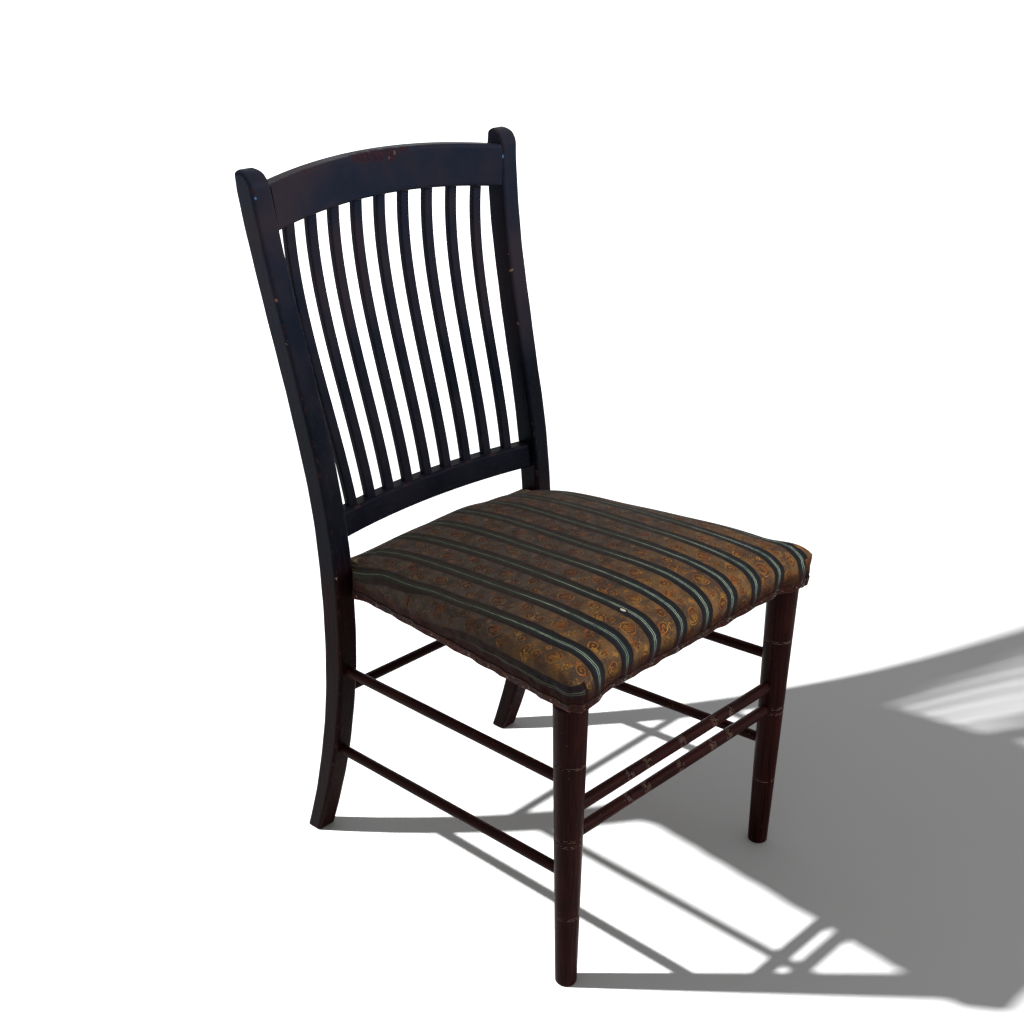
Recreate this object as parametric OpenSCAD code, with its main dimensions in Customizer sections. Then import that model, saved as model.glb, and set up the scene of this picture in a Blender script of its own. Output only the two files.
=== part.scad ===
// Side chair with a slatted back, turned front legs and a stuffed-over seat.
//
// The chair stands on the floor at z = 0 and faces -Y. Its origin is on the floor, in the
// middle of its overall box. Every height is measured from the floor, except in the seat,
// whose pieces are drawn on the plane of the frame's underside and then tilted with it.

/* [Overall] */
// Height of the back posts
overall_height = 912; // [860:1:980]
// Height of the seat frame's underside over the front legs
seat_height = 391; // [350:1:430]
// From the front feet to the faces of the back posts at the seat
seat_run = 389; // [320:1:470]
// Between the centres of the front feet
front_foot_spread = 404; // [360:1:490]
// Between the centres of the back feet
back_foot_spread = 374; // [330:1:400]

/* [Back posts] */
// Width of a post across the chair
post_width = 30; // [25:0.5:36]
// Depth of a post at the floor
post_foot_depth = 24; // [20:0.5:29]
// Depth of a post at the seat
post_seat_depth = 34; // [30:0.5:41]
// Depth of a post at its top
post_top_depth = 32; // [28:0.5:39]
// How far the foot stands behind the seat joint
foot_rake = 68; // [40:1:90]
// Height at which the front face is plumb
plumb_height = 340; // [290:1:350]
// Lean of the back above the seat, in degrees
back_lean = 13.7; // [8:0.1:18]
// Height over which the lean builds up
lean_run = 232; // [180:1:280]
// Lean that is left at the top, in degrees
top_lean = 5.7; // [2:0.1:8]
// Height over which the lean eases off
ease_run = 180; // [120:1:220]
// How much farther apart a post stands at the seat than at the floor
post_toe = 4; // [0:0.5:8]
// How much farther out a post stands at its top than at the seat
post_flare = 26; // [10:1:35]
// Radius of the ear's front, seen from the side
ear_radius = 26; // [14:1:28]
// Radius of the ear's other edges
ear_edge_radius = 6; // [3:0.5:10]

/* [Back rails] */
// Radius of the bow that both back rails follow
bow_radius = 900; // [700:10:1400]
// Thickness of the crest rail
crest_depth = 26; // [18:0.5:28]
// Height of the crest rail in its middle
crest_height = 56; // [46:1:66]
// How far the crest's middle lies below the posts' tops
crest_drop = 5; // [2:1:12]
// Rise of the crest's arch from its ends to its middle
crest_arch = 14; // [6:1:20]
// Lean of the crest rail, in degrees
crest_tilt = 6; // [2:0.5:9]
// How far the crest's face stands back from the faces of the posts
crest_setback = 1; // [0.5:0.5:4]
// Thickness of the lower back rail
lower_rail_depth = 22; // [16:0.5:24]
// Height of the lower back rail
lower_rail_height = 33; // [27:1:40]
// Height of the lower rail over the seat frame's underside
lower_rail_lift = 61; // [57:1:77]
// Lean of the lower back rail, in degrees
lower_rail_tilt = 9; // [5:0.5:12]
// How far the lower rail's face stands back from the faces of the posts
lower_rail_setback = 9.5; // [5:0.5:11]
// Length of a back rail's tenon
back_tenon_length = 15; // [10:0.5:18]
// Thickness of a back rail's tenon
back_tenon_depth = 10; // [6:0.5:12]
// Height of a back rail's tenon
back_tenon_height = 20; // [14:0.5:24]

/* [Slats] */
// Number of slats
slat_count = 9; // [5:2:9]
// Width of a slat
slat_width = 13.5; // [10:0.5:16]
// Thickness of a slat
slat_depth = 8; // [6:0.5:10]
// From a post's inner face to the middle of the nearest slat
slat_margin = 31.5; // [26:0.5:40]
// Length of a slat's end inside each rail
slat_tenon = 12; // [8:0.5:15]
// Slope of a slat at its lower end, run over rise
slat_low_slope = 0.2; // [0.1:0.01:0.3]
// Slope of a slat at its upper end, run over rise
slat_high_slope = -0.05; // [-0.1:0.01:0.1]

/* [Front legs] */
// Radius of a front leg under the seat
leg_top_radius = 20.4; // [17:0.2:24]
// Radius of a front leg at the floor
leg_foot_radius = 13.2; // [11:0.2:15]
// Outward splay of the front legs, in degrees
leg_splay = 1.15; // [0:0.05:2]
// Forward lean of the front legs, in degrees
leg_lean = 0.7; // [0:0.05:1.5]
// Heights of the rings cut round a front leg
leg_rings = [101, 206, 214, 313];
// Radius of the round tenon on top of a front leg
leg_tenon_radius = 9; // [7:0.5:10]
// Length of that tenon
leg_tenon_length = 28; // [20:1:32]

/* [Stretchers] */
// Radius of the two front stretchers
front_stretcher_radius = 7.8; // [6:0.1:9]
// Heights of the two front stretchers
front_stretcher_heights = [210, 245];
// Places of the groups of rings along a front stretcher
stretcher_ring_groups = [-102, -67, 0, 67, 102];
// Radius of the side stretchers
side_stretcher_radius = 6.9; // [5:0.1:8]
// Heights of the side stretchers at the front legs
side_stretcher_front = [157, 284];
// Heights of the side stretchers at the back posts
side_stretcher_back = [145, 271];
// Radius of the back stretcher
back_stretcher_radius = 6.5; // [5:0.1:8]
// Height of the back stretcher
back_stretcher_height = 235; // [215:1:245]
// How deep a stretcher sits in its socket
socket_depth = 12; // [8:0.5:13]

/* [Turned rings] */
// Width of a turned ring
ring_width = 1.8; // [1:0.1:3]
// Depth of a turned ring
ring_cut = 0.8; // [0.4:0.1:1.4]
// Distance between the rings of one group
ring_pitch = 4; // [3:0.5:6]

/* [Seat frame] */
// Height of the seat rails
rail_height = 36; // [30:1:44]
// Depth of the front rail, which takes the legs
front_rail_depth = 38; // [36:1:44]
// Thickness of the side rails
side_rail_depth = 26; // [22:0.5:32]
// Thickness of the back rail
back_rail_depth = 24; // [20:0.5:28]
// How far the front rail stands back from the fronts of the legs
frame_inset = 6; // [4:0.5:8]
// How far the side rails stand in from the legs and from the faces of the posts
frame_side_inset = 1; // [0.5:0.5:3]
// How far the back rail stands in from the backs of the posts
frame_back_inset = 4; // [3:0.5:8]
// Slope of the seat down to the back, in degrees
seat_tilt = 1.95; // [0:0.05:3]
// Radius of the frame's front corners
corner_radius = 14; // [10:1:30]
// Length of the tenons between the rails
rail_tenon_length = 9; // [6:0.5:10]
// Thickness of those tenons
rail_tenon_depth = 9; // [6:0.5:10]
// Height of those tenons
rail_tenon_height = 10; // [8:0.5:12]
// Radius of the dowels between the frame and the back posts
dowel_radius = 4; // [3:0.5:5]
// Length of a dowel
dowel_length = 24; // [18:1:26]
// Length of a corner block along each rail
block_leg = 45; // [36:1:60]
// Height of a corner block
block_height = 22; // [16:1:26]
// Radius of a corner screw's shank
screw_radius = 2; // [1.5:0.1:2.6]
// Radius of a corner screw's head
screw_head_radius = 4; // [3:0.1:5]
// Length of a corner screw
screw_length = 26; // [20:1:30]

/* [Upholstery] */
// Number of webbing straps each way
strap_count = 3; // [2:1:4]
// Width of a webbing strap
strap_width = 50; // [40:1:55]
// Thickness of the webbing
strap_depth = 1.2; // [0.8:0.1:2]
// Thickness of the base cloth
base_cloth_depth = 0.8; // [0.5:0.1:1.5]
// Height of the crown over the base cloth
crown_height = 28; // [16:1:36]
// How far the stuffing swells beyond the skirt
swell = 8; // [4:0.5:10]
// How much farther it swells over the front rail
nose = 4; // [0:0.5:8]
// Thickness of the cover fabric
cover_depth = 0.9; // [0.5:0.1:1.5]
// From the rails to the outside of the cover
skirt_grow = 2.6; // [2:0.1:4]
// Height of the edge braid
braid_height = 12; // [6:0.5:14]
// Thickness of the edge braid
braid_depth = 1.2; // [0.8:0.1:2]
// Number of tacks along the front
front_tacks = 13; // [7:2:17]
// Number of tacks along each side
side_tacks = 11; // [6:1:14]
// Number of tacks along the back
back_tacks = 9; // [5:2:11]
// Radius of a tack's head
tack_head_radius = 2.2; // [1.6:0.1:3.2]
// Height of a tack's head
tack_head_height = 0.9; // [0.6:0.1:1.5]
// Radius of a tack's shank
tack_radius = 0.8; // [0.6:0.1:1]
// Length of a tack's shank
tack_length = 10; // [8:0.5:12]

/* [Clearances] */
// Gap between faces that meet
joint_gap = 0.1; // [0.05:0.05:0.3]
// Gap all round a tenon, a slat's end or a stretcher's end
socket_fit = 0.15; // [0.1:0.05:0.3]
// Gap beside soft pieces
soft_gap = 0.3; // [0.2:0.05:0.5]

/* [Hidden] */

$fn = 48;
LEFT = -1;
RIGHT = 1;
BACK_COLOR = [0.10, 0.11, 0.16];
LEG_COLOR = [0.14, 0.07, 0.06];
FRAME_COLOR = [0.55, 0.42, 0.28];
// Facets of the large circle that bows the back rails
bow_facets = 256;
// Steps along a post, a slat and an arched edge
post_steps = 36;
slat_steps = 20;
arch_steps = 24;
corner_steps = 6;
// Larger than any piece that a profile is cut from
reach = 1400;
// How far a shape runs past the face that trims it
overrun = 4;
// How sharply a post sweeps back to its foot
foot_curve = 1.9;
// Rounding at the bottom of a front leg
foot_round = 3;
// Heights of the two dowels at a post, as parts of the rail's height
dowel_places = [0.2, 0.8];
// Length of a screw's point, and how far a block's two screws stand off its middle height
screw_point = 4;
screw_offset = 4;
// Where a screw stands along a block and how deep its head is sunk, as parts of the block
screw_place = 0.6;
screw_bed = 0.25;
// From the edge of the frame to the edge of the base cloth
cloth_margin = 6;
// The swell of the seat: how far under the stuffing it starts, between which heights it is
// full, how far in the shoulder, the dome and the flat top begin, and how high the first two
// are as parts of the crown's height
swell_start = 12;
swell_low = 2;
swell_high = 3;
shoulder_inset = 8;
dome_inset = 50;
crown_inset = 120;
shoulder_part = 0.33;
dome_part = 0.72;
layer_height = 0.1;
// From the top of the cover's straight skirt to the stuffing
skirt_drop = 6;
// From the bottom of the frame to the bottom of the cover
skirt_bottom = 1;
// From a corner or a post to the nearest tack
tack_front_margin = 22;
tack_corner_margin = 8;
tack_post_margin = 12;
tack_back_margin = 20;

function lerp(a, b, t) = a + (b - a) * t;
function clamp01(t) = max(0, min(1, t));

// The posts: where their faces stand at a height
function lean_rise(u) =
    u < lean_run ? tan(back_lean) * u * u / (2 * lean_run) : tan(back_lean) * (u - lean_run / 2);
function lean_ease(u) = u < 0 ? 0 : (tan(back_lean) - tan(top_lean)) * u * u / (2 * ease_run);
function post_front(z) =
    z < plumb_height
    ? seat_run + foot_rake * pow((plumb_height - z) / plumb_height, foot_curve)
    : seat_run + lean_rise(z - plumb_height) - lean_ease(z - overall_height + ease_run);
function post_depth(z) =
    z < plumb_height
    ? lerp(post_foot_depth, post_seat_depth, z / plumb_height)
    : lerp(post_seat_depth, post_top_depth, (z - plumb_height) / (overall_height - plumb_height));
function post_middle(z) = post_front(z) + post_depth(z) / 2;
function post_x(z) =
    back_foot_spread / 2 + post_toe * min(z, seat_height) / seat_height
    + post_flare * pow(clamp01((z - seat_height) / (overall_height - seat_height)), 2);
function post_inner(z) = post_x(z) - post_width / 2;
function post_outer(z) = post_x(z) + post_width / 2;

// The front legs: a straight taper about a leaning axis
function leg_x(z) = front_foot_spread / 2 + z * tan(leg_splay);
function leg_y(z) = -z * tan(leg_lean);
function leg_radius(z) = lerp(leg_foot_radius, leg_top_radius, z / seat_height);

// The back rails and the slats between them
crest_top = overall_height - crest_drop;
crest_bottom = crest_top - crest_height;
crest_middle = crest_top - crest_height / 2;
lower_bottom = seat_height + lower_rail_lift;
lower_top = lower_bottom + lower_rail_height;
lower_middle = (lower_bottom + lower_top) / 2;
function sagitta(x) = bow_radius - sqrt(bow_radius * bow_radius - x * x);
crest_face = post_front(crest_middle) + crest_setback + sagitta(post_inner(crest_middle));
lower_face = post_front(lower_middle) + lower_rail_setback + sagitta(post_inner(lower_middle));
function arch(x) = crest_arch * pow(x / post_inner(crest_middle), 2);
function crest_center(z) =
    crest_face + crest_depth / 2 + (z - crest_middle) * tan(crest_tilt);
function lower_center(z) =
    lower_face + lower_rail_depth / 2 + (z - lower_middle) * tan(lower_rail_tilt);
slat_low_pitch = 2 * (post_inner(lower_top) - slat_margin) / (slat_count - 1);
slat_high_pitch = 2 * (post_inner(crest_bottom) - slat_margin) / (slat_count - 1);
function slat_t(z) = (z - lower_top) / (crest_bottom - lower_top);
function slat_x(k, z) = k * lerp(slat_low_pitch, slat_high_pitch, slat_t(z));
// A cubic between the two rails with a given slope at each end, run on straight inside them
function slat_cubic(t) =
    lerp(lower_center(lower_top), crest_center(crest_bottom), 3 * t * t - 2 * t * t * t)
    + (crest_bottom - lower_top)
    * (slat_low_slope * (t * t * t - 2 * t * t + t) + slat_high_slope * (t * t * t - t * t));
function slat_center(z) =
    slat_cubic(clamp01(slat_t(z)))
    + slat_low_slope * min(0, z - lower_top) + slat_high_slope * max(0, z - crest_bottom);
function slat_y(k, z) = slat_center(z) - sagitta(slat_x(k, z));

// The seat frame in plan, on the plane of its underside
post_gap_half = post_inner(seat_height) - 3 * joint_gap;
frame_front = leg_y(seat_height) - leg_top_radius + frame_inset;
frame_front_half = leg_x(seat_height) + leg_top_radius - frame_side_inset;
frame_back = seat_run + post_seat_depth - frame_back_inset;
notch_y = seat_run - frame_side_inset;
rail_joint_y = frame_front + front_rail_depth;
function frame_half(y) =
    lerp(frame_front_half, post_gap_half, (y - frame_front) / (notch_y - frame_front));
side_angle = atan((frame_front_half - post_gap_half) / (notch_y - frame_front));
function rail_inner(y) =
    lerp(frame_half(rail_joint_y), post_gap_half, (y - rail_joint_y) / (frame_back - rail_joint_y))
    - side_rail_depth;
inner_angle = atan((rail_inner(rail_joint_y) - rail_inner(frame_back)) / (frame_back - rail_joint_y));
// The centre of the round front corner, which keeps its place as the outline grows
corner_y = frame_front + corner_radius;
corner_x = frame_half(corner_y) - corner_radius / cos(side_angle);
function half_outline(grow, bulge) = concat(
    [for (i = [0 : corner_steps])
        let (a = lerp(270, 360 + side_angle, i / corner_steps))
        [corner_x + (corner_radius + grow) * cos(a), corner_y + (corner_radius + grow) * sin(a)
         - bulge * max(0, -sin(a))]],
    grow > 0 ? [[post_gap_half + grow / cos(side_angle), notch_y]] : [],
    [[min(post_gap_half, post_gap_half + grow), notch_y],
     [min(post_gap_half, post_gap_half + grow), frame_back + grow]]
);
function mirrored(points) = [for (i = [len(points) - 1 : -1 : 0]) [-points[i][0], points[i][1]]];
function outline(grow, bulge = 0) =
    concat(half_outline(grow, bulge), mirrored(half_outline(grow, bulge)));

// The layers of the seat, upwards from the underside of the frame
lengthwise_bottom = rail_height + joint_gap;
crosswise_bottom = lengthwise_bottom + strap_depth + joint_gap;
base_cloth_bottom = crosswise_bottom + strap_depth + joint_gap;
stuffing_bottom = base_cloth_bottom + base_cloth_depth + joint_gap;
crown_top = stuffing_bottom + crown_height;

// The middle of the overall box, front to back
front_end = (frame_front - skirt_grow - swell - nose) * cos(seat_tilt)
    + (stuffing_bottom - swell_low) * sin(seat_tilt);
back_end = crest_face + crest_depth / cos(crest_tilt) + (crest_top - crest_middle) * tan(crest_tilt);
chair_middle = (front_end + back_end) / 2;

module chair_frame() {
    translate([0, -chair_middle, 0])
        children();
}

module seat_plane() {
    translate([0, 0, seat_height])
        rotate([-seat_tilt, 0, 0])
            children();
}

// An outline in the y-z plane, run along x
module side_cut(points, width) {
    rotate([90, 0, 90])
        linear_extrude(height = width, center = true)
            polygon(points);
}

// An outline in the x-z plane, run along y
module face_cut(points) {
    rotate([90, 0, 0])
        linear_extrude(height = reach, center = true)
            polygon(points);
}

// A round bar from one point to another, grown and lengthened by fit
module bar(start, end, radius, fit = 0) {
    run = end - start;
    long = norm(run);
    translate(start)
        rotate([0, acos(run[2] / long), atan2(run[1], run[0])])
            translate([0, 0, -fit])
                cylinder(h = long + 2 * fit, r = radius + fit);
}

// ---- Back posts ----

function post_side_points() =
    let (
        straight = overall_height - ear_radius,
        low = [for (i = [0 : post_steps]) i * straight / post_steps],
        ear_y = post_front(straight),
        back_y = ear_y + post_depth(straight)
    )
    concat(
        [for (z = low) [post_front(z), z]],
        [for (a = [80 : -10 : 0])
            [ear_y + ear_radius * (1 - sin(a)), straight + ear_radius * cos(a)]],
        [for (a = [0 : 15 : 90])
            [back_y - ear_edge_radius * (1 - sin(a)),
             overall_height - ear_edge_radius * (1 - cos(a))]],
        [for (i = [post_steps : -1 : 0]) [post_front(low[i]) + post_depth(low[i]), low[i]]]
    );

function post_face_points() =
    let (
        straight = overall_height - ear_edge_radius,
        low = [for (i = [0 : post_steps]) i * straight / post_steps]
    )
    concat(
        [for (z = low) [post_outer(z), z]],
        [for (a = [15 : 15 : 90])
            [post_outer(straight) - ear_edge_radius * (1 - cos(a)),
             straight + ear_edge_radius * sin(a)]],
        [for (a = [90 : -15 : 15])
            [post_inner(straight) + ear_edge_radius * (1 - cos(a)),
             straight + ear_edge_radius * sin(a)]],
        [for (i = [post_steps : -1 : 0]) [post_inner(low[i]), low[i]]]
    );

// The right-hand post, sawn from a board first along its side and then along its face
module post_blank() {
    intersection() {
        side_cut(post_side_points(), reach);
        face_cut(post_face_points());
    }
}

module back_post(side) {
    color(BACK_COLOR)
        chair_frame()
            difference() {
                mirror([side == LEFT ? 1 : 0, 0, 0])
                    post_blank();
                crest_tenons(socket_fit);
                lower_rail_tenons(socket_fit);
                for (level = [0, 1])
                    side_stretcher_bar(side, level, socket_fit);
                back_stretcher_bar(socket_fit);
                dowels(socket_fit);
            }
}

// ---- Back rails ----

// A block along x at each end of a back rail, bedded in the rail and in the post
module tenon_pair(face, middle, depth, tilt, fit) {
    inner = post_inner(middle);
    for (side = [LEFT, RIGHT])
        translate([side * inner, face + depth / 2 - sagitta(inner), middle])
            rotate([-tilt, 0, 0])
                cube([2 * (back_tenon_length + fit), back_tenon_depth + 2 * fit,
                      back_tenon_height + 2 * fit], center = true);
}

module crest_tenons(fit = 0) {
    tenon_pair(crest_face, crest_middle - crest_arch, crest_depth, crest_tilt, fit);
}

module lower_rail_tenons(fit = 0) {
    tenon_pair(lower_face, lower_middle, lower_rail_depth, lower_rail_tilt, fit);
}

// A board bent to the bow, leaning back, its front face at the given place
module bowed_board(face, middle, depth, tilt) {
    translate([0, face, middle])
        rotate([-tilt, 0, 0])
            translate([0, -bow_radius, 0])
                linear_extrude(height = 3 * crest_height, center = true)
                    intersection() {
                        difference() {
                            circle(r = bow_radius + depth, $fn = bow_facets);
                            circle(r = bow_radius, $fn = bow_facets);
                        }
                        translate([-bow_radius / 2, bow_radius / 2])
                            square([bow_radius, bow_radius]);
                    }
}

function rail_end(low, high) =
    [for (i = [0 : 4]) let (z = lerp(low, high, i / 4)) [post_inner(z) - joint_gap, z]];

function crest_points() =
    let (
        low = crest_bottom - crest_arch,
        high = crest_top - crest_arch,
        low_half = post_inner(low) - joint_gap,
        high_half = post_inner(high) - joint_gap
    )
    concat(
        [for (i = [1 : arch_steps - 1])
            let (x = lerp(-low_half, low_half, i / arch_steps))
            [x, crest_bottom - arch(x)]],
        rail_end(low, high),
        [for (i = [1 : arch_steps - 1])
            let (x = lerp(high_half, -high_half, i / arch_steps))
            [x, crest_top - arch(x)]],
        mirrored(rail_end(low, high))
    );

module crest_rail() {
    color(BACK_COLOR)
        chair_frame()
            difference() {
                union() {
                    intersection() {
                        bowed_board(crest_face, crest_middle, crest_depth, crest_tilt);
                        face_cut(crest_points());
                    }
                    crest_tenons();
                }
                all_slats(socket_fit);
            }
}

module lower_back_rail() {
    ends = rail_end(lower_bottom, lower_top);
    color(BACK_COLOR)
        chair_frame()
            difference() {
                union() {
                    intersection() {
                        bowed_board(lower_face, lower_middle, lower_rail_depth, lower_rail_tilt);
                        face_cut(concat(ends, mirrored(ends)));
                    }
                    lower_rail_tenons();
                }
                all_slats(socket_fit);
            }
}

// ---- Slats ----

// Slat k counts from 0 in the middle, with the lower numbers on the left
module slat_blank(k, fit = 0) {
    low = lower_top - slat_tenon - fit;
    high = crest_bottom - arch(slat_x(k, crest_bottom)) + slat_tenon + fit;
    heights = [for (i = [0 : slat_steps]) lerp(low, high, i / slat_steps)];
    half_depth = slat_depth / 2 + fit;
    half_width = slat_width / 2 + fit;
    intersection() {
        side_cut(concat(
            [for (z = heights) [slat_y(k, z) - half_depth, z]],
            [for (i = [slat_steps : -1 : 0]) [slat_y(k, heights[i]) + half_depth, heights[i]]]
        ), reach);
        face_cut([
            [slat_x(k, low) - half_width, low], [slat_x(k, low) + half_width, low],
            [slat_x(k, high) + half_width, high], [slat_x(k, high) - half_width, high]
        ]);
    }
}

module all_slats(fit) {
    for (number = [1 : slat_count])
        slat_blank(number - (slat_count + 1) / 2, fit);
}

module back_slat(number) {
    color(BACK_COLOR)
        chair_frame()
            slat_blank(number - (slat_count + 1) / 2);
}

// ---- Turned front legs ----

// Half the outline of a turning: a V cut at each ring, given as places along the axis
function ring_points(places, radius_at) =
    [for (z = places)
        each [[radius_at(z - ring_width / 2), z - ring_width / 2],
              [radius_at(z) - ring_cut, z],
              [radius_at(z + ring_width / 2), z + ring_width / 2]]];

module leg_turning() {
    radius_at = function (z) leg_radius(z);
    shoulder = seat_height + overrun;
    rotate_extrude()
        polygon(concat(
            [[0, -overrun], [leg_foot_radius - foot_round, -overrun],
             [leg_foot_radius - foot_round, 0]],
            [for (a = [15 : 15 : 90])
                [leg_foot_radius - foot_round * (1 - sin(a)), foot_round * (1 - cos(a))]],
            ring_points(leg_rings, radius_at),
            [[leg_radius(shoulder), shoulder], [0, shoulder]]
        ));
}

// Puts the upright turning on the leaning axis of the leg on one side
module leg_axis(side) {
    translate([side * front_foot_spread / 2, 0, 0])
        rotate([leg_lean, side * leg_splay, 0])
            children();
}

module leg_tenon(side, fit = 0) {
    leg_axis(side)
        cylinder(h = seat_height + leg_tenon_length + fit, r = leg_tenon_radius + fit);
}

module front_leg(side) {
    color(LEG_COLOR)
        chair_frame()
            difference() {
                union() {
                    intersection() {
                        leg_axis(side)
                            leg_turning();
                        seat_plane()
                            translate([-reach / 2, -reach / 2, -reach - joint_gap])
                                cube(reach);
                    }
                    leg_tenon(side);
                }
                translate([-reach / 2, -reach / 2, -reach])
                    cube(reach);
                for (level = [0, 1]) {
                    front_stretcher_bar(level, socket_fit);
                    side_stretcher_bar(side, level, socket_fit);
                }
            }
}

// ---- Stretchers ----

function front_stretcher_half(z) = leg_x(z) - leg_radius(z) + socket_depth;

module front_stretcher_bar(level, fit = 0) {
    z = front_stretcher_heights[level];
    half = front_stretcher_half(z);
    bar([-half, leg_y(z), z], [half, leg_y(z), z], front_stretcher_radius, fit);
}

module front_stretcher(level) {
    z = front_stretcher_heights[level];
    half = front_stretcher_half(z);
    radius_at = function (z) front_stretcher_radius;
    rings = [for (group = stretcher_ring_groups, k = [-1 : 1]) group + k * ring_pitch];
    color(LEG_COLOR)
        chair_frame()
            translate([0, leg_y(z), z])
                rotate([0, 90, 0])
                    rotate_extrude()
                        polygon(concat(
                            [[0, -half], [front_stretcher_radius, -half]],
                            ring_points(rings, radius_at),
                            [[front_stretcher_radius, half], [0, half]]
                        ));
}

// From the axis of the front leg to the middle of the post, less what the sockets leave
module side_stretcher_bar(side, level, fit = 0) {
    low = side_stretcher_front[level];
    high = side_stretcher_back[level];
    start = [side * leg_x(low), leg_y(low), low];
    end = [side * post_x(high), post_middle(high), high];
    along = (end - start) / norm(end - start);
    bar(start + along * (leg_radius(low) - socket_depth),
        end - along * (post_depth(high) / 2 - socket_depth),
        side_stretcher_radius, fit);
}

module side_stretcher(side, level) {
    color(LEG_COLOR)
        chair_frame()
            side_stretcher_bar(side, level);
}

module back_stretcher_bar(fit = 0) {
    z = back_stretcher_height;
    half = post_inner(z) + socket_depth;
    bar([-half, post_middle(z), z], [half, post_middle(z), z], back_stretcher_radius, fit);
}

module back_stretcher() {
    color(LEG_COLOR)
        chair_frame()
            back_stretcher_bar();
}

// ---- Seat frame ----

module rail_board(points) {
    linear_extrude(height = rail_height)
        polygon(points);
}

// The tenon on the front end of a side rail
module side_rail_tenon(side, fit = 0) {
    middle = (frame_half(rail_joint_y) + rail_inner(rail_joint_y)) / 2;
    translate([side * middle, rail_joint_y, rail_height / 2])
        cube([rail_tenon_depth + 2 * fit, 2 * (rail_tenon_length + fit),
              rail_tenon_height + 2 * fit], center = true);
}

// The tenon on each end of the back rail
module back_rail_tenon(side, fit = 0) {
    middle = frame_back - back_rail_depth / 2;
    translate([side * rail_inner(middle), middle, rail_height / 2])
        cube([2 * (rail_tenon_length + fit), rail_tenon_depth + 2 * fit,
              rail_tenon_height + 2 * fit], center = true);
}

module front_seat_rail() {
    color(FRAME_COLOR)
        chair_frame()
            difference() {
                seat_plane()
                    intersection() {
                        rail_board(outline(0));
                        translate([-reach / 2, rail_joint_y - reach, -1])
                            cube([reach, reach, rail_height + 2]);
                    }
                for (side = [LEFT, RIGHT]) {
                    leg_tenon(side, socket_fit);
                    seat_plane()
                        side_rail_tenon(side, socket_fit);
                }
                seat_plane() {
                    block_screws(socket_fit);
                    tack_set(socket_fit);
                }
            }
}

module side_seat_rail(side) {
    front = rail_joint_y + joint_gap;
    points = [
        [frame_half(front), front], [post_gap_half, notch_y], [post_gap_half, frame_back],
        [rail_inner(frame_back), frame_back], [rail_inner(front), front]
    ];
    color(FRAME_COLOR)
        chair_frame()
            seat_plane()
                difference() {
                    union() {
                        mirror([side == LEFT ? 1 : 0, 0, 0])
                            rail_board(points);
                        side_rail_tenon(side);
                    }
                    back_rail_tenon(side, socket_fit);
                    dowels_in_plane(socket_fit);
                    block_screws(socket_fit);
                    tack_set(socket_fit);
                }
}

module back_seat_rail() {
    front = frame_back - back_rail_depth;
    points = [
        [rail_inner(front) - joint_gap, front], [rail_inner(frame_back) - joint_gap, frame_back]
    ];
    color(FRAME_COLOR)
        chair_frame()
            seat_plane()
                difference() {
                    union() {
                        rail_board(concat(points, mirrored(points)));
                        for (side = [LEFT, RIGHT])
                            back_rail_tenon(side);
                    }
                    block_screws(socket_fit);
                    tack_set(socket_fit);
                }
}

// Two dowels, one over the other, from each back post into its side rail
module dowels_in_plane(fit = 0) {
    middle = frame_back - back_rail_depth / 2;
    for (side = [LEFT, RIGHT], place = dowel_places)
        translate([side * (post_gap_half + joint_gap), middle, place * rail_height])
            rotate([0, 90, 0])
                cylinder(h = dowel_length + 2 * fit, r = dowel_radius + fit, center = true);
}

module dowels(fit = 0) {
    seat_plane()
        dowels_in_plane(fit);
}

module seat_dowels() {
    color(FRAME_COLOR)
        chair_frame()
            dowels();
}

// A corner block fills the angle of two rails; end is -1 for the front, 1 for the back
block_bottom = (rail_height - block_height) / 2;

function block_corner_y(end) =
    end < 0 ? rail_joint_y + joint_gap : frame_back - back_rail_depth - joint_gap;

module corner_block(side, end) {
    y = block_corner_y(end);
    far = y - end * block_leg;
    color(FRAME_COLOR)
        chair_frame()
            seat_plane()
                difference() {
                    mirror([side == LEFT ? 1 : 0, 0, 0])
                        translate([0, 0, block_bottom])
                            linear_extrude(height = block_height)
                                polygon([
                                    [rail_inner(y) - joint_gap, y],
                                    [rail_inner(y) - joint_gap - block_leg, y],
                                    [rail_inner(far) - joint_gap, far]
                                ]);
                    block_screws(socket_fit);
                }
}

// A countersunk screw with its point down, its head's top at z = 0, or the hole for one
module screw(fit = 0) {
    cone = screw_head_radius - screw_radius;
    rotate_extrude()
        polygon(concat(
            [[0, -screw_length - fit], [screw_radius / 2 + fit, -screw_length - fit],
             [screw_radius + fit, -screw_length + screw_point], [screw_radius + fit, -cone],
             [screw_head_radius + fit, 0]],
            fit > 0 ? [[screw_head_radius + fit, block_leg], [0, block_leg]] : [[0, 0]]
        ));
}

// Two screws to a block: one into the front or back rail, one into the side rail

module block_screws(fit = 0) {
    for (side = [LEFT, RIGHT], end = [-1, 1]) {
        y = block_corner_y(end);
        run = y - end * screw_place * block_leg;
        translate([side * (rail_inner(y) - screw_place * block_leg),
                   y - end * screw_bed * block_leg, rail_height / 2 - screw_offset])
            rotate([end < 0 ? -90 : 90, 0, 0])
                screw(fit);
        translate([side * (rail_inner(run) - screw_bed * block_leg), run,
                   rail_height / 2 + screw_offset])
            rotate([0, side * -90, 0])
                screw(fit);
    }
}

module corner_block_screws() {
    color("silver")
        chair_frame()
            seat_plane()
                block_screws();
}

// ---- Upholstery ----

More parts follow.
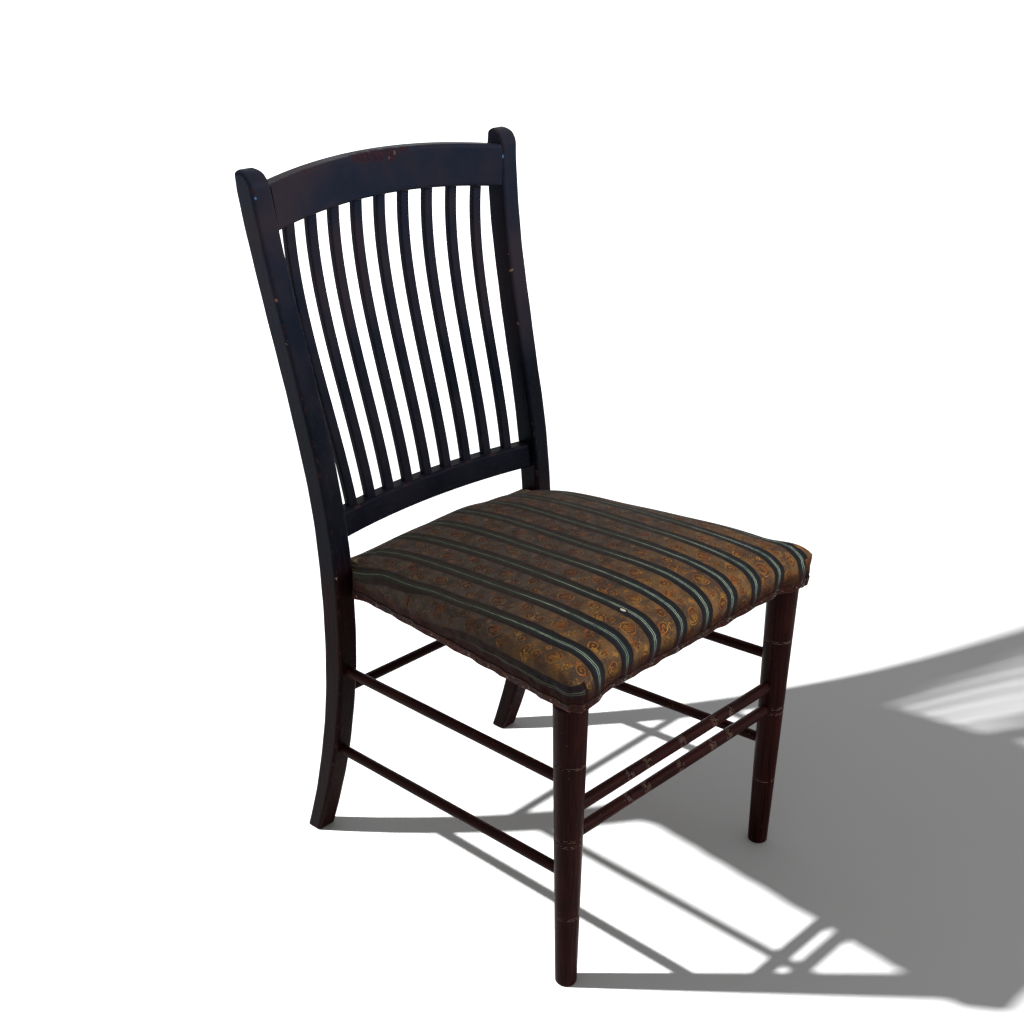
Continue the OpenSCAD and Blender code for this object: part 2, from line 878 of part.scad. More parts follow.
module webbing_lengthwise() {
    front = frame_front + front_rail_depth / 3;
    back = frame_back - back_rail_depth / 3;
    pitch = 2 * rail_inner(frame_back) / (strap_count + 1);
    color([0.62, 0.54, 0.40])
        chair_frame()
            seat_plane()
                for (i = [1 : strap_count])
                    translate([(i - (strap_count + 1) / 2) * pitch - strap_width / 2, front,
                               lengthwise_bottom])
                        cube([strap_width, back - front, strap_depth]);
}

module webbing_crosswise() {
    front = rail_joint_y;
    pitch = (frame_back - back_rail_depth - front) / (strap_count + 1);
    color([0.58, 0.50, 0.37])
        chair_frame()
            seat_plane()
                for (i = [1 : strap_count]) {
                    y = front + i * pitch;
                    half = rail_inner(y) + side_rail_depth / 2;
                    translate([-half, y - strap_width / 2, crosswise_bottom])
                        cube([2 * half, strap_width, strap_depth]);
                }
}

module base_cloth() {
    color([0.66, 0.57, 0.42])
        chair_frame()
            seat_plane()
                translate([0, 0, base_cloth_bottom])
                    linear_extrude(height = base_cloth_depth)
                        polygon(outline(-cloth_margin));
}

// One thin layer of the seat's shape; shrink pulls it in from the outside of the cover, and
// down where the surface faces up (down = 1) or up where it faces down (down = -1)
module layer(z, grow, bulge, shrink, down) {
    translate([0, 0, z - down * shrink])
        linear_extrude(height = layer_height)
            polygon(outline(grow - shrink, bulge));
}

module swelled_seat(shrink) {
    full = skirt_grow + swell;
    hull() {
        layer(stuffing_bottom - swell_start, skirt_grow, 0, shrink, -1);
        layer(stuffing_bottom - swell_low, full, nose, shrink, 0);
        layer(stuffing_bottom + swell_high, full - 1, nose, shrink, 1);
        layer(stuffing_bottom + shoulder_part * crown_height, -shoulder_inset, 0, shrink, 1);
        layer(stuffing_bottom + dome_part * crown_height, -dome_inset, 0, shrink, 1);
        layer(crown_top, -crown_inset, 0, shrink, 1);
    }
}

// Keeps the upholstery out of the back posts
module post_notches() {
    for (side = [LEFT, RIGHT])
        translate([side * (post_gap_half + reach / 2), notch_y + reach / 2, 0])
            cube(reach, center = true);
}

module seat_stuffing() {
    color([0.45, 0.36, 0.26])
        chair_frame()
            seat_plane()
                difference() {
                    swelled_seat(cover_depth + soft_gap);
                    post_notches();
                    translate([-reach / 2, -reach / 2, stuffing_bottom - reach])
                        cube(reach);
                }
}

module seat_cover() {
    inside = skirt_grow - cover_depth;
    top = stuffing_bottom - skirt_drop;
    color([0.36, 0.24, 0.15])
        chair_frame()
            seat_plane()
                difference() {
                    union() {
                        translate([0, 0, skirt_bottom])
                            linear_extrude(height = top - skirt_bottom)
                                polygon(outline(skirt_grow));
                        swelled_seat(0);
                    }
                    translate([0, 0, -1])
                        linear_extrude(height = top + 1)
                            polygon(outline(inside));
                    translate([-post_gap_half - 1, notch_y - 1, -1])
                        cube([2 * post_gap_half + 2, frame_back + inside - notch_y + 1, top + 1]);
                    swelled_seat(cover_depth);
                    post_notches();
                    tack_set(socket_fit);
                }
}

module edge_braid() {
    inside = skirt_grow + joint_gap;
    color([0.30, 0.13, 0.09])
        chair_frame()
            seat_plane()
                translate([0, 0, skirt_bottom])
                    difference() {
                        linear_extrude(height = braid_height)
                            difference() {
                                polygon(outline(inside + braid_depth));
                                polygon(outline(inside));
                            }
                        translate([0, 0, -skirt_bottom])
                            tack_set(socket_fit);
                    }
}

// A tack along z, its head's flat side at z = 0 and its shank below
module tack(fit = 0) {
    ball = (tack_head_radius * tack_head_radius + tack_head_height * tack_head_height)
        / (2 * tack_head_height);
    translate([0, 0, -tack_length - fit])
        cylinder(h = tack_length + 2 * fit, r = tack_radius + fit);
    if (fit == 0)
        intersection() {
            translate([0, 0, tack_head_height - ball])
                sphere(r = ball);
            cylinder(h = 2 * tack_head_height, r = tack_head_radius);
        }
}

// The tacks stand in the middle of the braid, square to the edge that they hold
module tack_set(fit = 0) {
    out = skirt_grow + braid_depth + 2 * joint_gap;
    z = skirt_bottom + braid_height / 2;
    front_half = corner_x - tack_front_margin;
    side_start = corner_y + tack_corner_margin;
    side_end = notch_y - tack_post_margin;
    back_half = post_gap_half - tack_back_margin;
    for (i = [0 : front_tacks - 1])
        translate([lerp(-front_half, front_half, i / (front_tacks - 1)), frame_front - out, z])
            rotate([90, 0, 0])
                tack(fit);
    for (side = [LEFT, RIGHT], i = [0 : side_tacks - 1]) {
        y = lerp(side_start, side_end, i / (side_tacks - 1));
        translate([side * (frame_half(y) + out / cos(side_angle)), y, z])
            rotate([0, 0, side * side_angle])
                rotate([0, side * 90, 0])
                    tack(fit);
    }
    for (i = [0 : back_tacks - 1])
        translate([lerp(-back_half, back_half, i / (back_tacks - 1)), frame_back + out, z])
            rotate([-90, 0, 0])
                tack(fit);
}

module cover_tacks() {
    color([0.42, 0.38, 0.33])
        chair_frame()
            seat_plane()
                tack_set();
}

back_post(LEFT);  // left_back_post
back_post(RIGHT);  // right_back_post
crest_rail();
lower_back_rail();
back_slat(1);  // back_slat_1
back_slat(2);  // back_slat_2
back_slat(3);  // back_slat_3
back_slat(4);  // back_slat_4
back_slat(5);  // back_slat_5
back_slat(6);  // back_slat_6
back_slat(7);  // back_slat_7
back_slat(8);  // back_slat_8
back_slat(9);  // back_slat_9
front_leg(LEFT);  // left_front_leg
front_leg(RIGHT);  // right_front_leg
front_stretcher(0);  // front_stretcher_lower
front_stretcher(1);  // front_stretcher_upper
side_stretcher(LEFT, 0);  // left_stretcher_lower
side_stretcher(LEFT, 1);  // left_stretcher_upper
side_stretcher(RIGHT, 0);  // right_stretcher_lower
side_stretcher(RIGHT, 1);  // right_stretcher_upper
back_stretcher();
front_seat_rail();
side_seat_rail(LEFT);  // left_seat_rail
side_seat_rail(RIGHT);  // right_seat_rail
back_seat_rail();
corner_block(LEFT, -1);  // left_front_block
corner_block(RIGHT, -1);  // right_front_block
corner_block(LEFT, 1);  // left_back_block
corner_block(RIGHT, 1);  // right_back_block
corner_block_screws();
seat_dowels();
webbing_lengthwise();
webbing_crosswise();
base_cloth();
seat_stuffing();
seat_cover();
edge_braid();
cover_tacks();
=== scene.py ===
# %% [markdown]
# # A slat-back side chair with a worn striped seat
# The chair is dark painted hardwood with an upholstered seat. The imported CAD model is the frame
# of this lesson: it says where each part is and how big it may be. Every visible part is then
# worked out again as a smooth surface with numpy and given a finish made of shader nodes.

import bpy
import numpy as np
from mathutils import Matrix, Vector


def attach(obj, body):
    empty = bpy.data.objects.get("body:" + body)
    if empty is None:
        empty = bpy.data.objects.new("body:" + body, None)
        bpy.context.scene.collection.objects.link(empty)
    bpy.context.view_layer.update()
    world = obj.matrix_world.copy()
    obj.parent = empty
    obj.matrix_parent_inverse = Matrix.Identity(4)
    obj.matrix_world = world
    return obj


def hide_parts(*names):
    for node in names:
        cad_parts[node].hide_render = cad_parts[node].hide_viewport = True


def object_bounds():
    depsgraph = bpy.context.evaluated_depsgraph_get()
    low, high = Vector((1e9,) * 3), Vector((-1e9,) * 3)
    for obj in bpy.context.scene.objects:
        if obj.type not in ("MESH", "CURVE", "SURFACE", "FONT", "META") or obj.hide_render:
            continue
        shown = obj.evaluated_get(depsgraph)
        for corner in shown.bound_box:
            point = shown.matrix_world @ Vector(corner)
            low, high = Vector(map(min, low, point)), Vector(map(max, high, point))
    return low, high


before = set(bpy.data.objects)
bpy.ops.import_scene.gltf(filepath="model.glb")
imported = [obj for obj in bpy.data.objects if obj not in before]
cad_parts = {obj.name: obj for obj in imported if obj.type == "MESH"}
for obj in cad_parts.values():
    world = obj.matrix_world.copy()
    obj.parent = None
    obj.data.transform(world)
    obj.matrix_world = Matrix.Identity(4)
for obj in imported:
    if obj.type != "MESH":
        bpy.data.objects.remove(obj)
cad_box = [[float(v) for v in corner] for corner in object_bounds()]
print("CAD box in metres:", cad_box)

# %% [markdown]
# ## Working in a maker's millimetres
# A chair maker measures from the line between the front feet. The shared frame has its middle
# elsewhere and counts in metres, so one helper turns a drawing point into a frame point. The
# back of the top rail is 535.79 mm from the front feet, which gives the shift.

# %% From the drawing to the frame
BACK_REACH = 535.79
MIDDLE = BACK_REACH - 1000 * cad_box[1][1]
LEFT, RIGHT = -1, 1


def place(points):
    """Drawing millimetres less the shift, divided by a thousand, are frame metres."""
    return (np.asarray(points, float) - [0.0, MIDDLE, 0.0]) / 1000.0


def ramp(value, low, high):
    """0 below low, 1 above high, and the smooth step 3t^2 - 2t^3 between them."""
    t = np.clip((np.asarray(value, float) - low) / (high - low), 0, 1)
    return t * t * (3 - 2 * t)


def xyz(x, y, z):
    """Points from three coordinates, each spread out to the shape they share."""
    return np.stack(np.broadcast_arrays(x, y, z), -1)


print("the frame's middle is", round(MIDDLE, 2), "mm behind the front feet")

# %% [markdown]
# ## From a grid of points to a mesh
# A bar, a post or a leg is a stack of closed rings. It could be a cylinder that is pushed about
# by hand, but a grid of rings is one array: the quads between neighbours follow from counting.
# The two ends are closed with a fan to a middle point. The signed volume of the closed skin says
# whether its faces look outwards, and turns them if they don't.

# %% Grids, fans and pieces
def ring_faces(rows, cols, closed_rows=False):
    """Quads between each row and the next one, where the last column meets the first."""
    r = np.arange(rows if closed_rows else rows - 1)[:, None]
    c = np.arange(cols)[None, :]
    after, beside = (r + 1) % rows, (c + 1) % cols
    quads = [r * cols + c, r * cols + beside, after * cols + beside, after * cols + c]
    return np.stack(np.broadcast_arrays(*quads), -1).reshape(-1, 4)


def skin(grid):
    """A stack of rings with a fan of triangles from the middle of the first and last ring."""
    rows, cols, _ = grid.shape
    points = np.vstack([grid.reshape(-1, 3), grid[0].mean(0), grid[-1].mean(0)])
    c = np.arange(cols)
    beside, last = (c + 1) % cols, (rows - 1) * cols
    bottom = np.stack([beside, c, np.full(cols, rows * cols)], -1)
    top = np.stack([last + c, last + beside, np.full(cols, rows * cols + 1)], -1)
    return points, ring_faces(rows, cols).tolist() + bottom.tolist() + top.tolist()


def volume(points, faces):
    """The sum of the tetrahedra between the origin and each face; negative means inside out."""
    corners = np.array([f[:3] for f in faces] + [[f[0], f[2], f[3]] for f in faces if len(f) == 4])
    a, b, c = (points[corners[:, k]] for k in range(3))
    return float(np.einsum("ij,ij->i", a, np.cross(b, c)).sum() / 6)


def new_object(name, points, faces):
    """A mesh object in the scene, from points in metres."""
    mesh = bpy.data.meshes.new(name)
    mesh.from_pydata(points, [], faces)
    made = bpy.data.objects.new(name, mesh)
    bpy.context.scene.collection.objects.link(made)
    return made


def add_piece(name, points, faces, slot, finish, stands_for, closed=True, uv=None, **attributes):
    """Puts points and faces into a mesh in the shared frame, with its finish and attributes."""
    points = place(points)
    centre = points.mean(0)
    if closed and volume(points - centre, faces) < 0:
        faces = [list(reversed(f)) for f in faces]
    piece = new_object(name, points.tolist(), faces)
    mesh = piece.data
    mesh.polygons.foreach_set("use_smooth", np.ones(len(faces), bool))
    for key, values in attributes.items():
        layer = mesh.attributes.new(key, "FLOAT", "POINT")
        layer.data.foreach_set("value", np.asarray(values, np.float32).ravel())
    if uv is not None:
        mesh.uv_layers.new(name="weave").uv.foreach_set("vector", uv.astype(np.float32).ravel())
    mesh.materials.append(finish)
    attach(piece, "root")
    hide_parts(stands_for)
    print(f"{name}: {len(points)} points, {len(faces)} faces")
    return piece


def with_poles(values):
    """A value for each ring point, and the mean of the end rings for the two middle points."""
    values = np.asarray(values, float)
    return np.concatenate([values.ravel(), [values[0].mean(), values[-1].mean()]])


def add_bar(name, grid, slot, finish, stands_for, **marks):
    """A closed bar from its rings; each mark has one value for each point of the rings."""
    points, faces = skin(grid)
    marks = {key: with_poles(values) for key, values in marks.items()}
    return add_piece(name, points, faces, slot, finish, stands_for, **marks)


def thicken(piece, thickness, offset=0.0):
    """Gives an open sheet its thickness in metres, to both sides or (offset -1) inwards."""
    solid = piece.modifiers.new("thickness", "SOLIDIFY")
    solid.thickness, solid.offset = thickness, offset


# %% [markdown]
# ## Wiring a finish
# Each finish is a small net of shader nodes. Writing every node and link by hand would hide the
# recipe, so one class adds a node for each call and hands back the socket with its result.

# %% A hand for wiring nodes
def paint(code):
    """A colour as written in a paint chart, such as 1c1e2a, as the linear light it stands for."""
    c = np.array([int(code[i:i + 2], 16) for i in (0, 2, 4)]) / 255.0
    linear = np.where(c <= 0.04045, c / 12.92, ((c + 0.055) / 1.055) ** 2.4)
    return (*[float(v) for v in linear], 1.0)


class Wires:
    """A net of nodes under way. Every method adds a node and returns its result."""

    def __init__(self, tree):
        self.tree = tree

    def add(self, kind, inputs=(), **settings):
        node = self.tree.nodes.new("ShaderNode" + kind)
        for key, value in settings.items():
            setattr(node, key, value)
        for key, value in dict(inputs).items():
            self.feed(node.inputs[key], value)
        return node

    def feed(self, socket, value):
        if isinstance(value, bpy.types.NodeSocket):
            self.tree.links.new(value, socket)
        else:
            socket.default_value = value

    def calc(self, operation, *values):
        node = self.add("Math", operation=operation)
        for socket, value in zip(node.inputs, values):
            self.feed(socket, value)
        return node.outputs[0]

    def plus(self, a, b):
        return self.calc("ADD", a, b)

    def minus(self, a, b):
        return self.calc("SUBTRACT", a, b)

    def times(self, a, b):
        return self.calc("MULTIPLY", a, b)

    def divided(self, a, b):
        return self.calc("DIVIDE", a, b)

    def scaled(self, value, factor, start):
        return self.calc("MULTIPLY_ADD", value, factor, start)

    def largest(self, first, *others):
        for value in others:
            first = self.calc("MAXIMUM", first, value)
        return first

    def distance(self, a, b=None):
        """How far a is from b, or from zero."""
        return self.calc("ABSOLUTE", a if b is None else self.minus(a, b))

    def step(self, value, low, high, start=0.0, end=1.0):
        node = self.add("MapRange", interpolation_type="SMOOTHSTEP")
        for socket, v in zip(node.inputs, (value, low, high, start, end)):
            self.feed(socket, v)
        return node.outputs[0]

    def mix(self, share, first, second):
        node = self.add("Mix", data_type="RGBA")
        for index, value in ((0, share), (6, first), (7, second)):
            self.feed(node.inputs[index], value)
        return node.outputs[2]

    def between(self, first, second, share):
        """Two paints: the first where share is 0, turning into the second where it is 1."""
        return self.mix(share, paint(first), paint(second))

    def coat(self, under, code, share, strength=1.0):
        """A paint over what is there, where share is 1, at its full strength or less."""
        share = share if strength == 1.0 else self.times(share, strength)
        return self.mix(share, under, paint(code))

    def seen_rays(self):
        """1 for what the eye meets directly, in a mirror or through glass; 0 for light's bounces."""
        path = self.add("LightPath").outputs
        return self.largest(*[path[f"Is {kind} Ray"] for kind in ("Camera", "Glossy", "Transmission")])


class Finish(Wires):
    """One material under way, with its texture coordinates in the object's own metres."""

    def __init__(self, name, **sockets):
        self.material = bpy.data.materials.new(name)
        self.material.use_nodes = True
        super().__init__(self.material.node_tree)
        self.shader = self.tree.nodes["Principled BSDF"]
        for socket, value in sockets.items():
            self.shader.inputs[socket.replace("_", " ")].default_value = value

    def where(self, stretch=(1.0, 1.0, 1.0)):
        here = self.add("TexCoord").outputs["Object"]
        return self.add("Mapping", {"Vector": here, "Scale": stretch}).outputs[0]

    def axis(self, name):
        return self.add("SeparateXYZ", {"Vector": self.where()}).outputs[name]

    def noise(self, scale, detail=4.0, roughness=0.55, stretch=(1.0, 1.0, 1.0), distortion=0.0):
        return self.add("TexNoise", {"Vector": self.where(stretch), "Scale": scale, "Detail": detail,
                                     "Roughness": roughness, "Distortion": distortion}).outputs["Fac"]

    def patches(self, scale, detail, low, high, start=0.0, end=1.0):
        """Noise with its contrast raised: start below low and end above high."""
        return self.step(self.noise(scale, detail), low, high, start, end)

    def attribute(self, name):
        return self.add("Attribute", attribute_name=name).outputs["Fac"]

    def colour(self, value):
        self.feed(self.shader.inputs["Base Color"], value)

    def rough(self, value):
        self.feed(self.shader.inputs["Roughness"], value)

    def bump(self, height, distance, strength=1.0):
        node = self.add("Bump", {"Height": height, "Distance": distance, "Strength": strength})
        self.feed(self.shader.inputs["Normal"], node.outputs[0])

    def spots(self, marks):
        """1 inside any of the marks, each a drawing point and a radius in millimetres."""
        where = self.add("TexCoord").outputs["Object"]
        ragged = self.times(self.minus(self.noise(170, 3), 0.5), 0.012)
        found = 0.0
        for point, radius in marks:
            away = self.add("VectorMath", operation="DISTANCE")
            self.feed(away.inputs[0], where)
            away.inputs[1].default_value = place(point).tolist()
            edge = self.plus(away.outputs["Value"], ragged)
            found = self.largest(found, self.step(edge, radius / 1000, radius / 1300))
        return found


# %% [markdown]
# ## Black paint over red stain
# The back is painted blue-black over a red-brown stain. The paint is satin, shows the brushed
# grain a little, and is rubbed through on the corners. A flat black would look like plastic.
# Here long stretched noise gives the grain, a worn attribute marks the corners of each section,
# and noise breaks it up so that only some of each corner is bare.

# %% The paint of the back
def back_paint(name, stretch, marks, chip_paint=("5a3428", "a2826c"), share=1.0, nicks_and_highlights=(),
               nick_and_highlight_paint="5f4e48"):
    """Marks are rubbed to the chip paints, as much as share says. The last marks get their own paint: real
    nicks on the top rail, and painted highlights on the ears of the posts.
    """
    # the bluish Specular Tint is painted light: it gives the reflections the blue of a daylight that no
    # lamp here has
    f = Finish(name, Specular_IOR_Level=0.025, Specular_Tint=(0.5, 0.75, 1.0, 1.0))
    cloudy = f.noise(9, 3)
    grain = f.noise(1.0, 5, 0.6, stretch)
    height = f.axis("Z")
    # painted light: the paint is painted lighter and bluer higher up, where the upper back takes more
    # light
    upper = f.step(f.scaled(cloudy, 0.3, height), 0.6, 1.05)
    base = f.mix(upper, f.between("0a0b11", "15151c", f.step(cloudy, 0.35, 0.65)),
                 f.between("1f2433", "312a31", f.step(cloudy, 0.35, 0.65)))
    base = f.coat(base, "2a2b36", f.step(grain, 0.5, 0.72), 0.3)
    low = f.step(f.scaled(cloudy, 0.08, height), 0.5, 0.42)
    base = f.mix(low, base, f.between("120706", "260f0c", f.step(grain, 0.36, 0.66)))
    rubbed = f.times(f.step(f.attribute("corner"), 0.35, 0.95), f.step(f.noise(75, 5, 0.65), 0.53, 0.64))
    base = f.coat(base, "3c2724", rubbed, 0.75)
    base = f.coat(base, "5d5963", f.patches(420, 2, 0.7, 0.78), 0.14)
    chips = f.spots(marks)
    bare = f.between(chip_paint[0], chip_paint[1], f.patches(300, 3, 0.4, 0.6))
    base = f.mix(f.times(chips, share), base, bare)
    f.colour(f.coat(base, nick_and_highlight_paint, f.spots(nicks_and_highlights)))
    bared = f.largest(chips, rubbed)
    f.rough(f.plus(f.step(cloudy, 0.3, 0.7, 0.3, 0.45), f.times(bared, 0.25)))
    relief = f.plus(grain, f.times(f.noise(600, 2), 0.3))
    f.bump(f.minus(relief, f.times(bared, 0.8)), 0.0005, 0.6)
    return f.material


UPRIGHT_GRAIN, CROSS_GRAIN, SIDE_GRAIN = (420.0, 420.0, 14.0), (14.0, 420.0, 420.0), (420.0, 14.0, 420.0)
POST_CHIPS = [((-219.2, 463.3, 761), 3.2), ((-216.6, 450.6, 710), 4.2), ((-213.1, 433.4, 641), 2.4),
              ((-206.0, 391.0, 411), 2.6), ((187.4, 460.5, 748), 2.8), ((186.2, 455.2, 727), 3.4),
              ((182.4, 438.0, 655), 2.2), ((-203.0, 440.0, 10), 5.0), ((203.0, 480.0, 14), 5.0)]
# painted highlights: bluish spots on the front edges of the ears stand in for reflected light
PAINTED_EAR_HIGHLIGHTS = [((-224.8, 480.5, 890), 3.8), ((-224.6, 479.8, 883), 3.4), ((198.4, 488.0, 884), 3.0),
             ((198.2, 486.2, 877), 3.4)]
CREST_SCUFFS = [((-30.0, 509.0, 905), 12.0), ((-8.0, 509.0, 904), 14.0), ((16.0, 509.0, 902), 13.0),
                ((38.0, 509.0, 904), 7.0), ((-46.0, 510.0, 903), 7.0)]
post_paint = back_paint("post_paint", UPRIGHT_GRAIN, POST_CHIPS, nicks_and_highlights=PAINTED_EAR_HIGHLIGHTS, nick_and_highlight_paint="5f86b0")
slat_paint = back_paint("slat_paint", UPRIGHT_GRAIN, [])
rail_paint = back_paint("rail_paint", CROSS_GRAIN, CREST_SCUFFS, ("2a181b", "402428"), 0.6,
                        [((21.0, 509.0, 901), 1.9), ((24.0, 508.0, 891), 1.7), ((12.0, 509.0, 896), 1.4)])

# %% [markdown]
# ## A red-brown stain on the legs
# The legs and stretchers are stained red-brown under an old shiny varnish. They could share the
# black paint, but their colour is warmer, the bottoms of their rings are painted darker and their
# lips carry pale specks. An attribute marks the lips of each turned ring, and fine noise lets a
# few specks through there: bare wood that also stands in for painted highlights.

# %% The stain of the legs
def leg_stain(name, stretch):
    f = Finish(name, Specular_IOR_Level=0.025)
    grain = f.noise(1.0, 5, 0.6, stretch)
    base = f.between("190b0a", "2f1513", f.step(grain, 0.36, 0.66))
    base = f.coat(base, "381a16", f.patches(14, 3, 0.5, 0.7), 0.4)
    lips = f.attribute("lip")
    # the pale specks on the ring lips are partly bare wood and partly painted highlight
    bare = f.times(f.step(lips, 0.2, 0.9), f.step(f.noise(200, 3, 0.6), 0.44, 0.54))
    base = f.coat(base, "a98a7c", bare, 0.9)
    base = f.coat(base, "8c7264", f.patches(330, 2, 0.73, 0.77), 0.7)
    # the bottoms of the rings are painted near-black
    f.colour(f.coat(base, "0b0504", f.step(lips, -0.1, -0.8)))
    f.rough(f.patches(20, 4, 0.3, 0.7, 0.3, 0.46))
    f.bump(f.plus(grain, f.times(f.noise(500, 2), 0.3)), 0.0004, 0.5)
    return f.material


upright_stain = leg_stain("upright_stain", UPRIGHT_GRAIN)
cross_stain = leg_stain("cross_stain", CROSS_GRAIN)
side_stain = leg_stain("side_stain", SIDE_GRAIN)
print("stains:", upright_stain.name, cross_stain.name, side_stain.name)

# %% [markdown]
# ## The curve of the back posts
# Each post is sawn from a board along one curve seen from the side: the foot rakes back, the
# middle is plumb at the seat, and above it the post leans back and eases upright again. Seen
# from the front it flares outwards. The same two functions place the rails and the slats.

# %% The post's curves
HEIGHT, SEAT, PLUMB, RUN = 912.0, 391.0, 340.0, 389.0
LEAN, TOP_LEAN = np.tan(np.radians(13.7)), np.tan(np.radians(5.7))
FOOT_RAKE, BEND_LONG, EASE_FROM, EASE_LONG = 68.0, 232.0, 732.0, 180.0
POST_HALF, FOOT_OUT, SEAT_OUT, TOP_OUT = 15.0, 187.0, 4.0, 26.0


def post_front(z):
    """A power curve for the foot, then a lean that grows over the bend and eases near the top."""
    z = np.asarray(z, float)
    foot = FOOT_RAKE * (np.clip(PLUMB - z, 0, None) / PLUMB) ** 1.9
    up = np.clip(z - PLUMB, 0, None)
    rise = np.where(up < BEND_LONG, LEAN * up * up / (2 * BEND_LONG), LEAN * (up - BEND_LONG / 2))
    ease = (LEAN - TOP_LEAN) * np.clip(z - EASE_FROM, 0, None) ** 2 / (2 * EASE_LONG)
    return RUN + foot + rise - ease


def post_depth(z):
    return np.interp(z, [0, PLUMB, HEIGHT], [24, 34, 32])


def post_x(z):
    z = np.asarray(z, float)
    flare = TOP_OUT * np.clip((z - SEAT) / (HEIGHT - SEAT), 0, 1) ** 2
    return FOOT_OUT + SEAT_OUT * np.minimum(z, SEAT) / SEAT + flare


def post_inner(z):
    return post_x(z) - POST_HALF


print("post front at the seat and the top:", post_front(SEAT).round(1), post_front(HEIGHT).round(1))

# %% [markdown]
# ## Rings with round corners
# Posts, rails and slats are sawn square and then have their corners eased by hand and by years
# of use. A Bevel modifier on a box would do for one corner size. Here every ring carries its own
# corner radius, with three points on each flat so that the flats stay flat when shaded.

# %% A rounded rectangle as a ring
def rounded_ring(half_wide, half_deep, radius, arc=7):
    """Each corner is an arc about a point one radius inside it; returns rings and a corner mark."""
    wide, deep, r = np.broadcast_arrays(*map(np.atleast_1d, (half_wide, half_deep, radius)))
    r = np.minimum(r, 0.98 * np.minimum(wide, deep))
    wide, deep, r = wide[:, None], deep[:, None], r[:, None]
    quarter = np.linspace(0, np.pi / 2, arc)
    signs = [(1, 1), (-1, 1), (-1, -1), (1, -1)]
    arcs = [np.stack([sx * (wide - r) + r * np.cos(quarter + k * np.pi / 2),
                      sy * (deep - r) + r * np.sin(quarter + k * np.pi / 2)], -1)
            for k, (sx, sy) in enumerate(signs)]
    along = np.array([0.06, 0.5, 0.94])[None, :, None]
    parts = []
    for k in range(4):
        start, end = arcs[k][:, -1:], arcs[(k + 1) % 4][:, :1]
        parts += [arcs[k], start + (end - start) * along]
    mark = np.tile(np.concatenate([np.sin(2 * quarter) * 0.6 + 0.4, np.zeros(3)]), 4)
    return np.concatenate(parts, 1), mark


# %% [markdown]
# ## The two back posts
# Each post is one curved stick from the floor to the ear above the top rail. The ear is a
# quarter round seen from the side and softened at its sides, so that the rings shrink to a
# ridge at the top. The rings crowd together there to keep the curve smooth.

# %% Build the posts
EAR, EAR_EDGE, FOOT_ROUND = 26.0, 7.0, 3.0


def quarter_round(z, start, radius):
    """How far a quarter circle of this radius has pulled in at height z above its start."""
    t = np.clip((z - start) / radius, 0, 1)
    return radius * (1 - np.sqrt(1 - t * t))


def post_grid(side):
    """Rings at each height, between the front and back curves, with the ear's pull added."""
    z = np.concatenate([FOOT_ROUND * (1 - np.cos(np.linspace(0.1, np.pi / 2, 5))),
                        np.linspace(5, 884, 150),
                        HEIGHT - EAR + EAR * np.sin(np.linspace(0.04, np.pi / 2 - 0.02, 20))])
    straight = HEIGHT - EAR
    front = post_front(np.minimum(z, straight)) + quarter_round(z, straight, EAR)
    back = (post_front(np.minimum(z, straight)) + post_depth(np.minimum(z, straight))
            - quarter_round(z, HEIGHT - 6, 6))
    half = POST_HALF - quarter_round(z, HEIGHT - EAR_EDGE, EAR_EDGE)
    worn = 0.35 * np.sin(z / 23.0 + side) + 0.25 * np.sin(z / 9.1)
    foot = quarter_round(FOOT_ROUND - z, 0, FOOT_ROUND)
    ring, mark = rounded_ring(half - foot, np.maximum((back - front) / 2 - foot, 0.3), 4.6 + worn)
    middle = (front + back) / 2
    x = side * post_x(z)[:, None] + ring[..., 0]
    y = middle[:, None] + ring[..., 1]
    return xyz(x, y, z[:, None]), np.broadcast_to(mark, x.shape)


for side, word in ((LEFT, "left"), (RIGHT, "right")):
    grid, mark = post_grid(side)
    add_bar(f"post_{word}", grid, "back_wood", post_paint, f"{word}_back_post", corner=mark)

# %% [markdown]
# ## The two bent rails
# The top rail and the lower back rail are bent to one bow and lean with the back. Each is a ring
# carried from post to post: the ring leans by its tilt, the bow brings its ends forward, and the
# arch lowers the ends of the top rail. Each end stops on the slanted face of the post.

# %% Build the rails
BOW = 900.0
CREST_TOP, CREST_TALL, CREST_DEEP, CREST_TILT, ARCH = 907.0, 56.0, 26.0, np.tan(np.radians(6)), 14.0
LOWER_LOW, LOWER_TALL, LOWER_DEEP, LOWER_TILT = 452.0, 33.0, 22.0, np.tan(np.radians(9))
CREST_SET, LOWER_SET = 1.0, 9.5
CREST_MID, LOWER_MID = CREST_TOP - CREST_TALL / 2, LOWER_LOW + LOWER_TALL / 2


def sagitta(x):
    """How far a circle of the bow's radius falls behind its tangent at x."""
    return BOW - np.sqrt(BOW * BOW - x * x)


CREST_FACE = float(post_front(CREST_MID) + CREST_SET + sagitta(post_inner(CREST_MID)))
LOWER_FACE = float(post_front(LOWER_MID) + LOWER_SET + sagitta(post_inner(LOWER_MID)))


def rail_grid(face, middle, tall, deep, tilt, arch, radius):
    """A ring in depth and height at each share s of the way out, moved by bow, tilt and arch."""
    s = np.concatenate([[-1], np.linspace(-0.995, 0.995, 91), [1]])
    ring, mark = rounded_ring(np.full(len(s), deep / 2), tall / 2, radius)
    z = middle + ring[..., 1] - arch * s[:, None] ** 2
    x = s[:, None] * (post_inner(z) - 0.1)
    y = face + deep / 2 + ring[..., 0] - sagitta(x) + (z - middle) * tilt
    return xyz(x, y, z), np.broadcast_to(mark, z.shape)


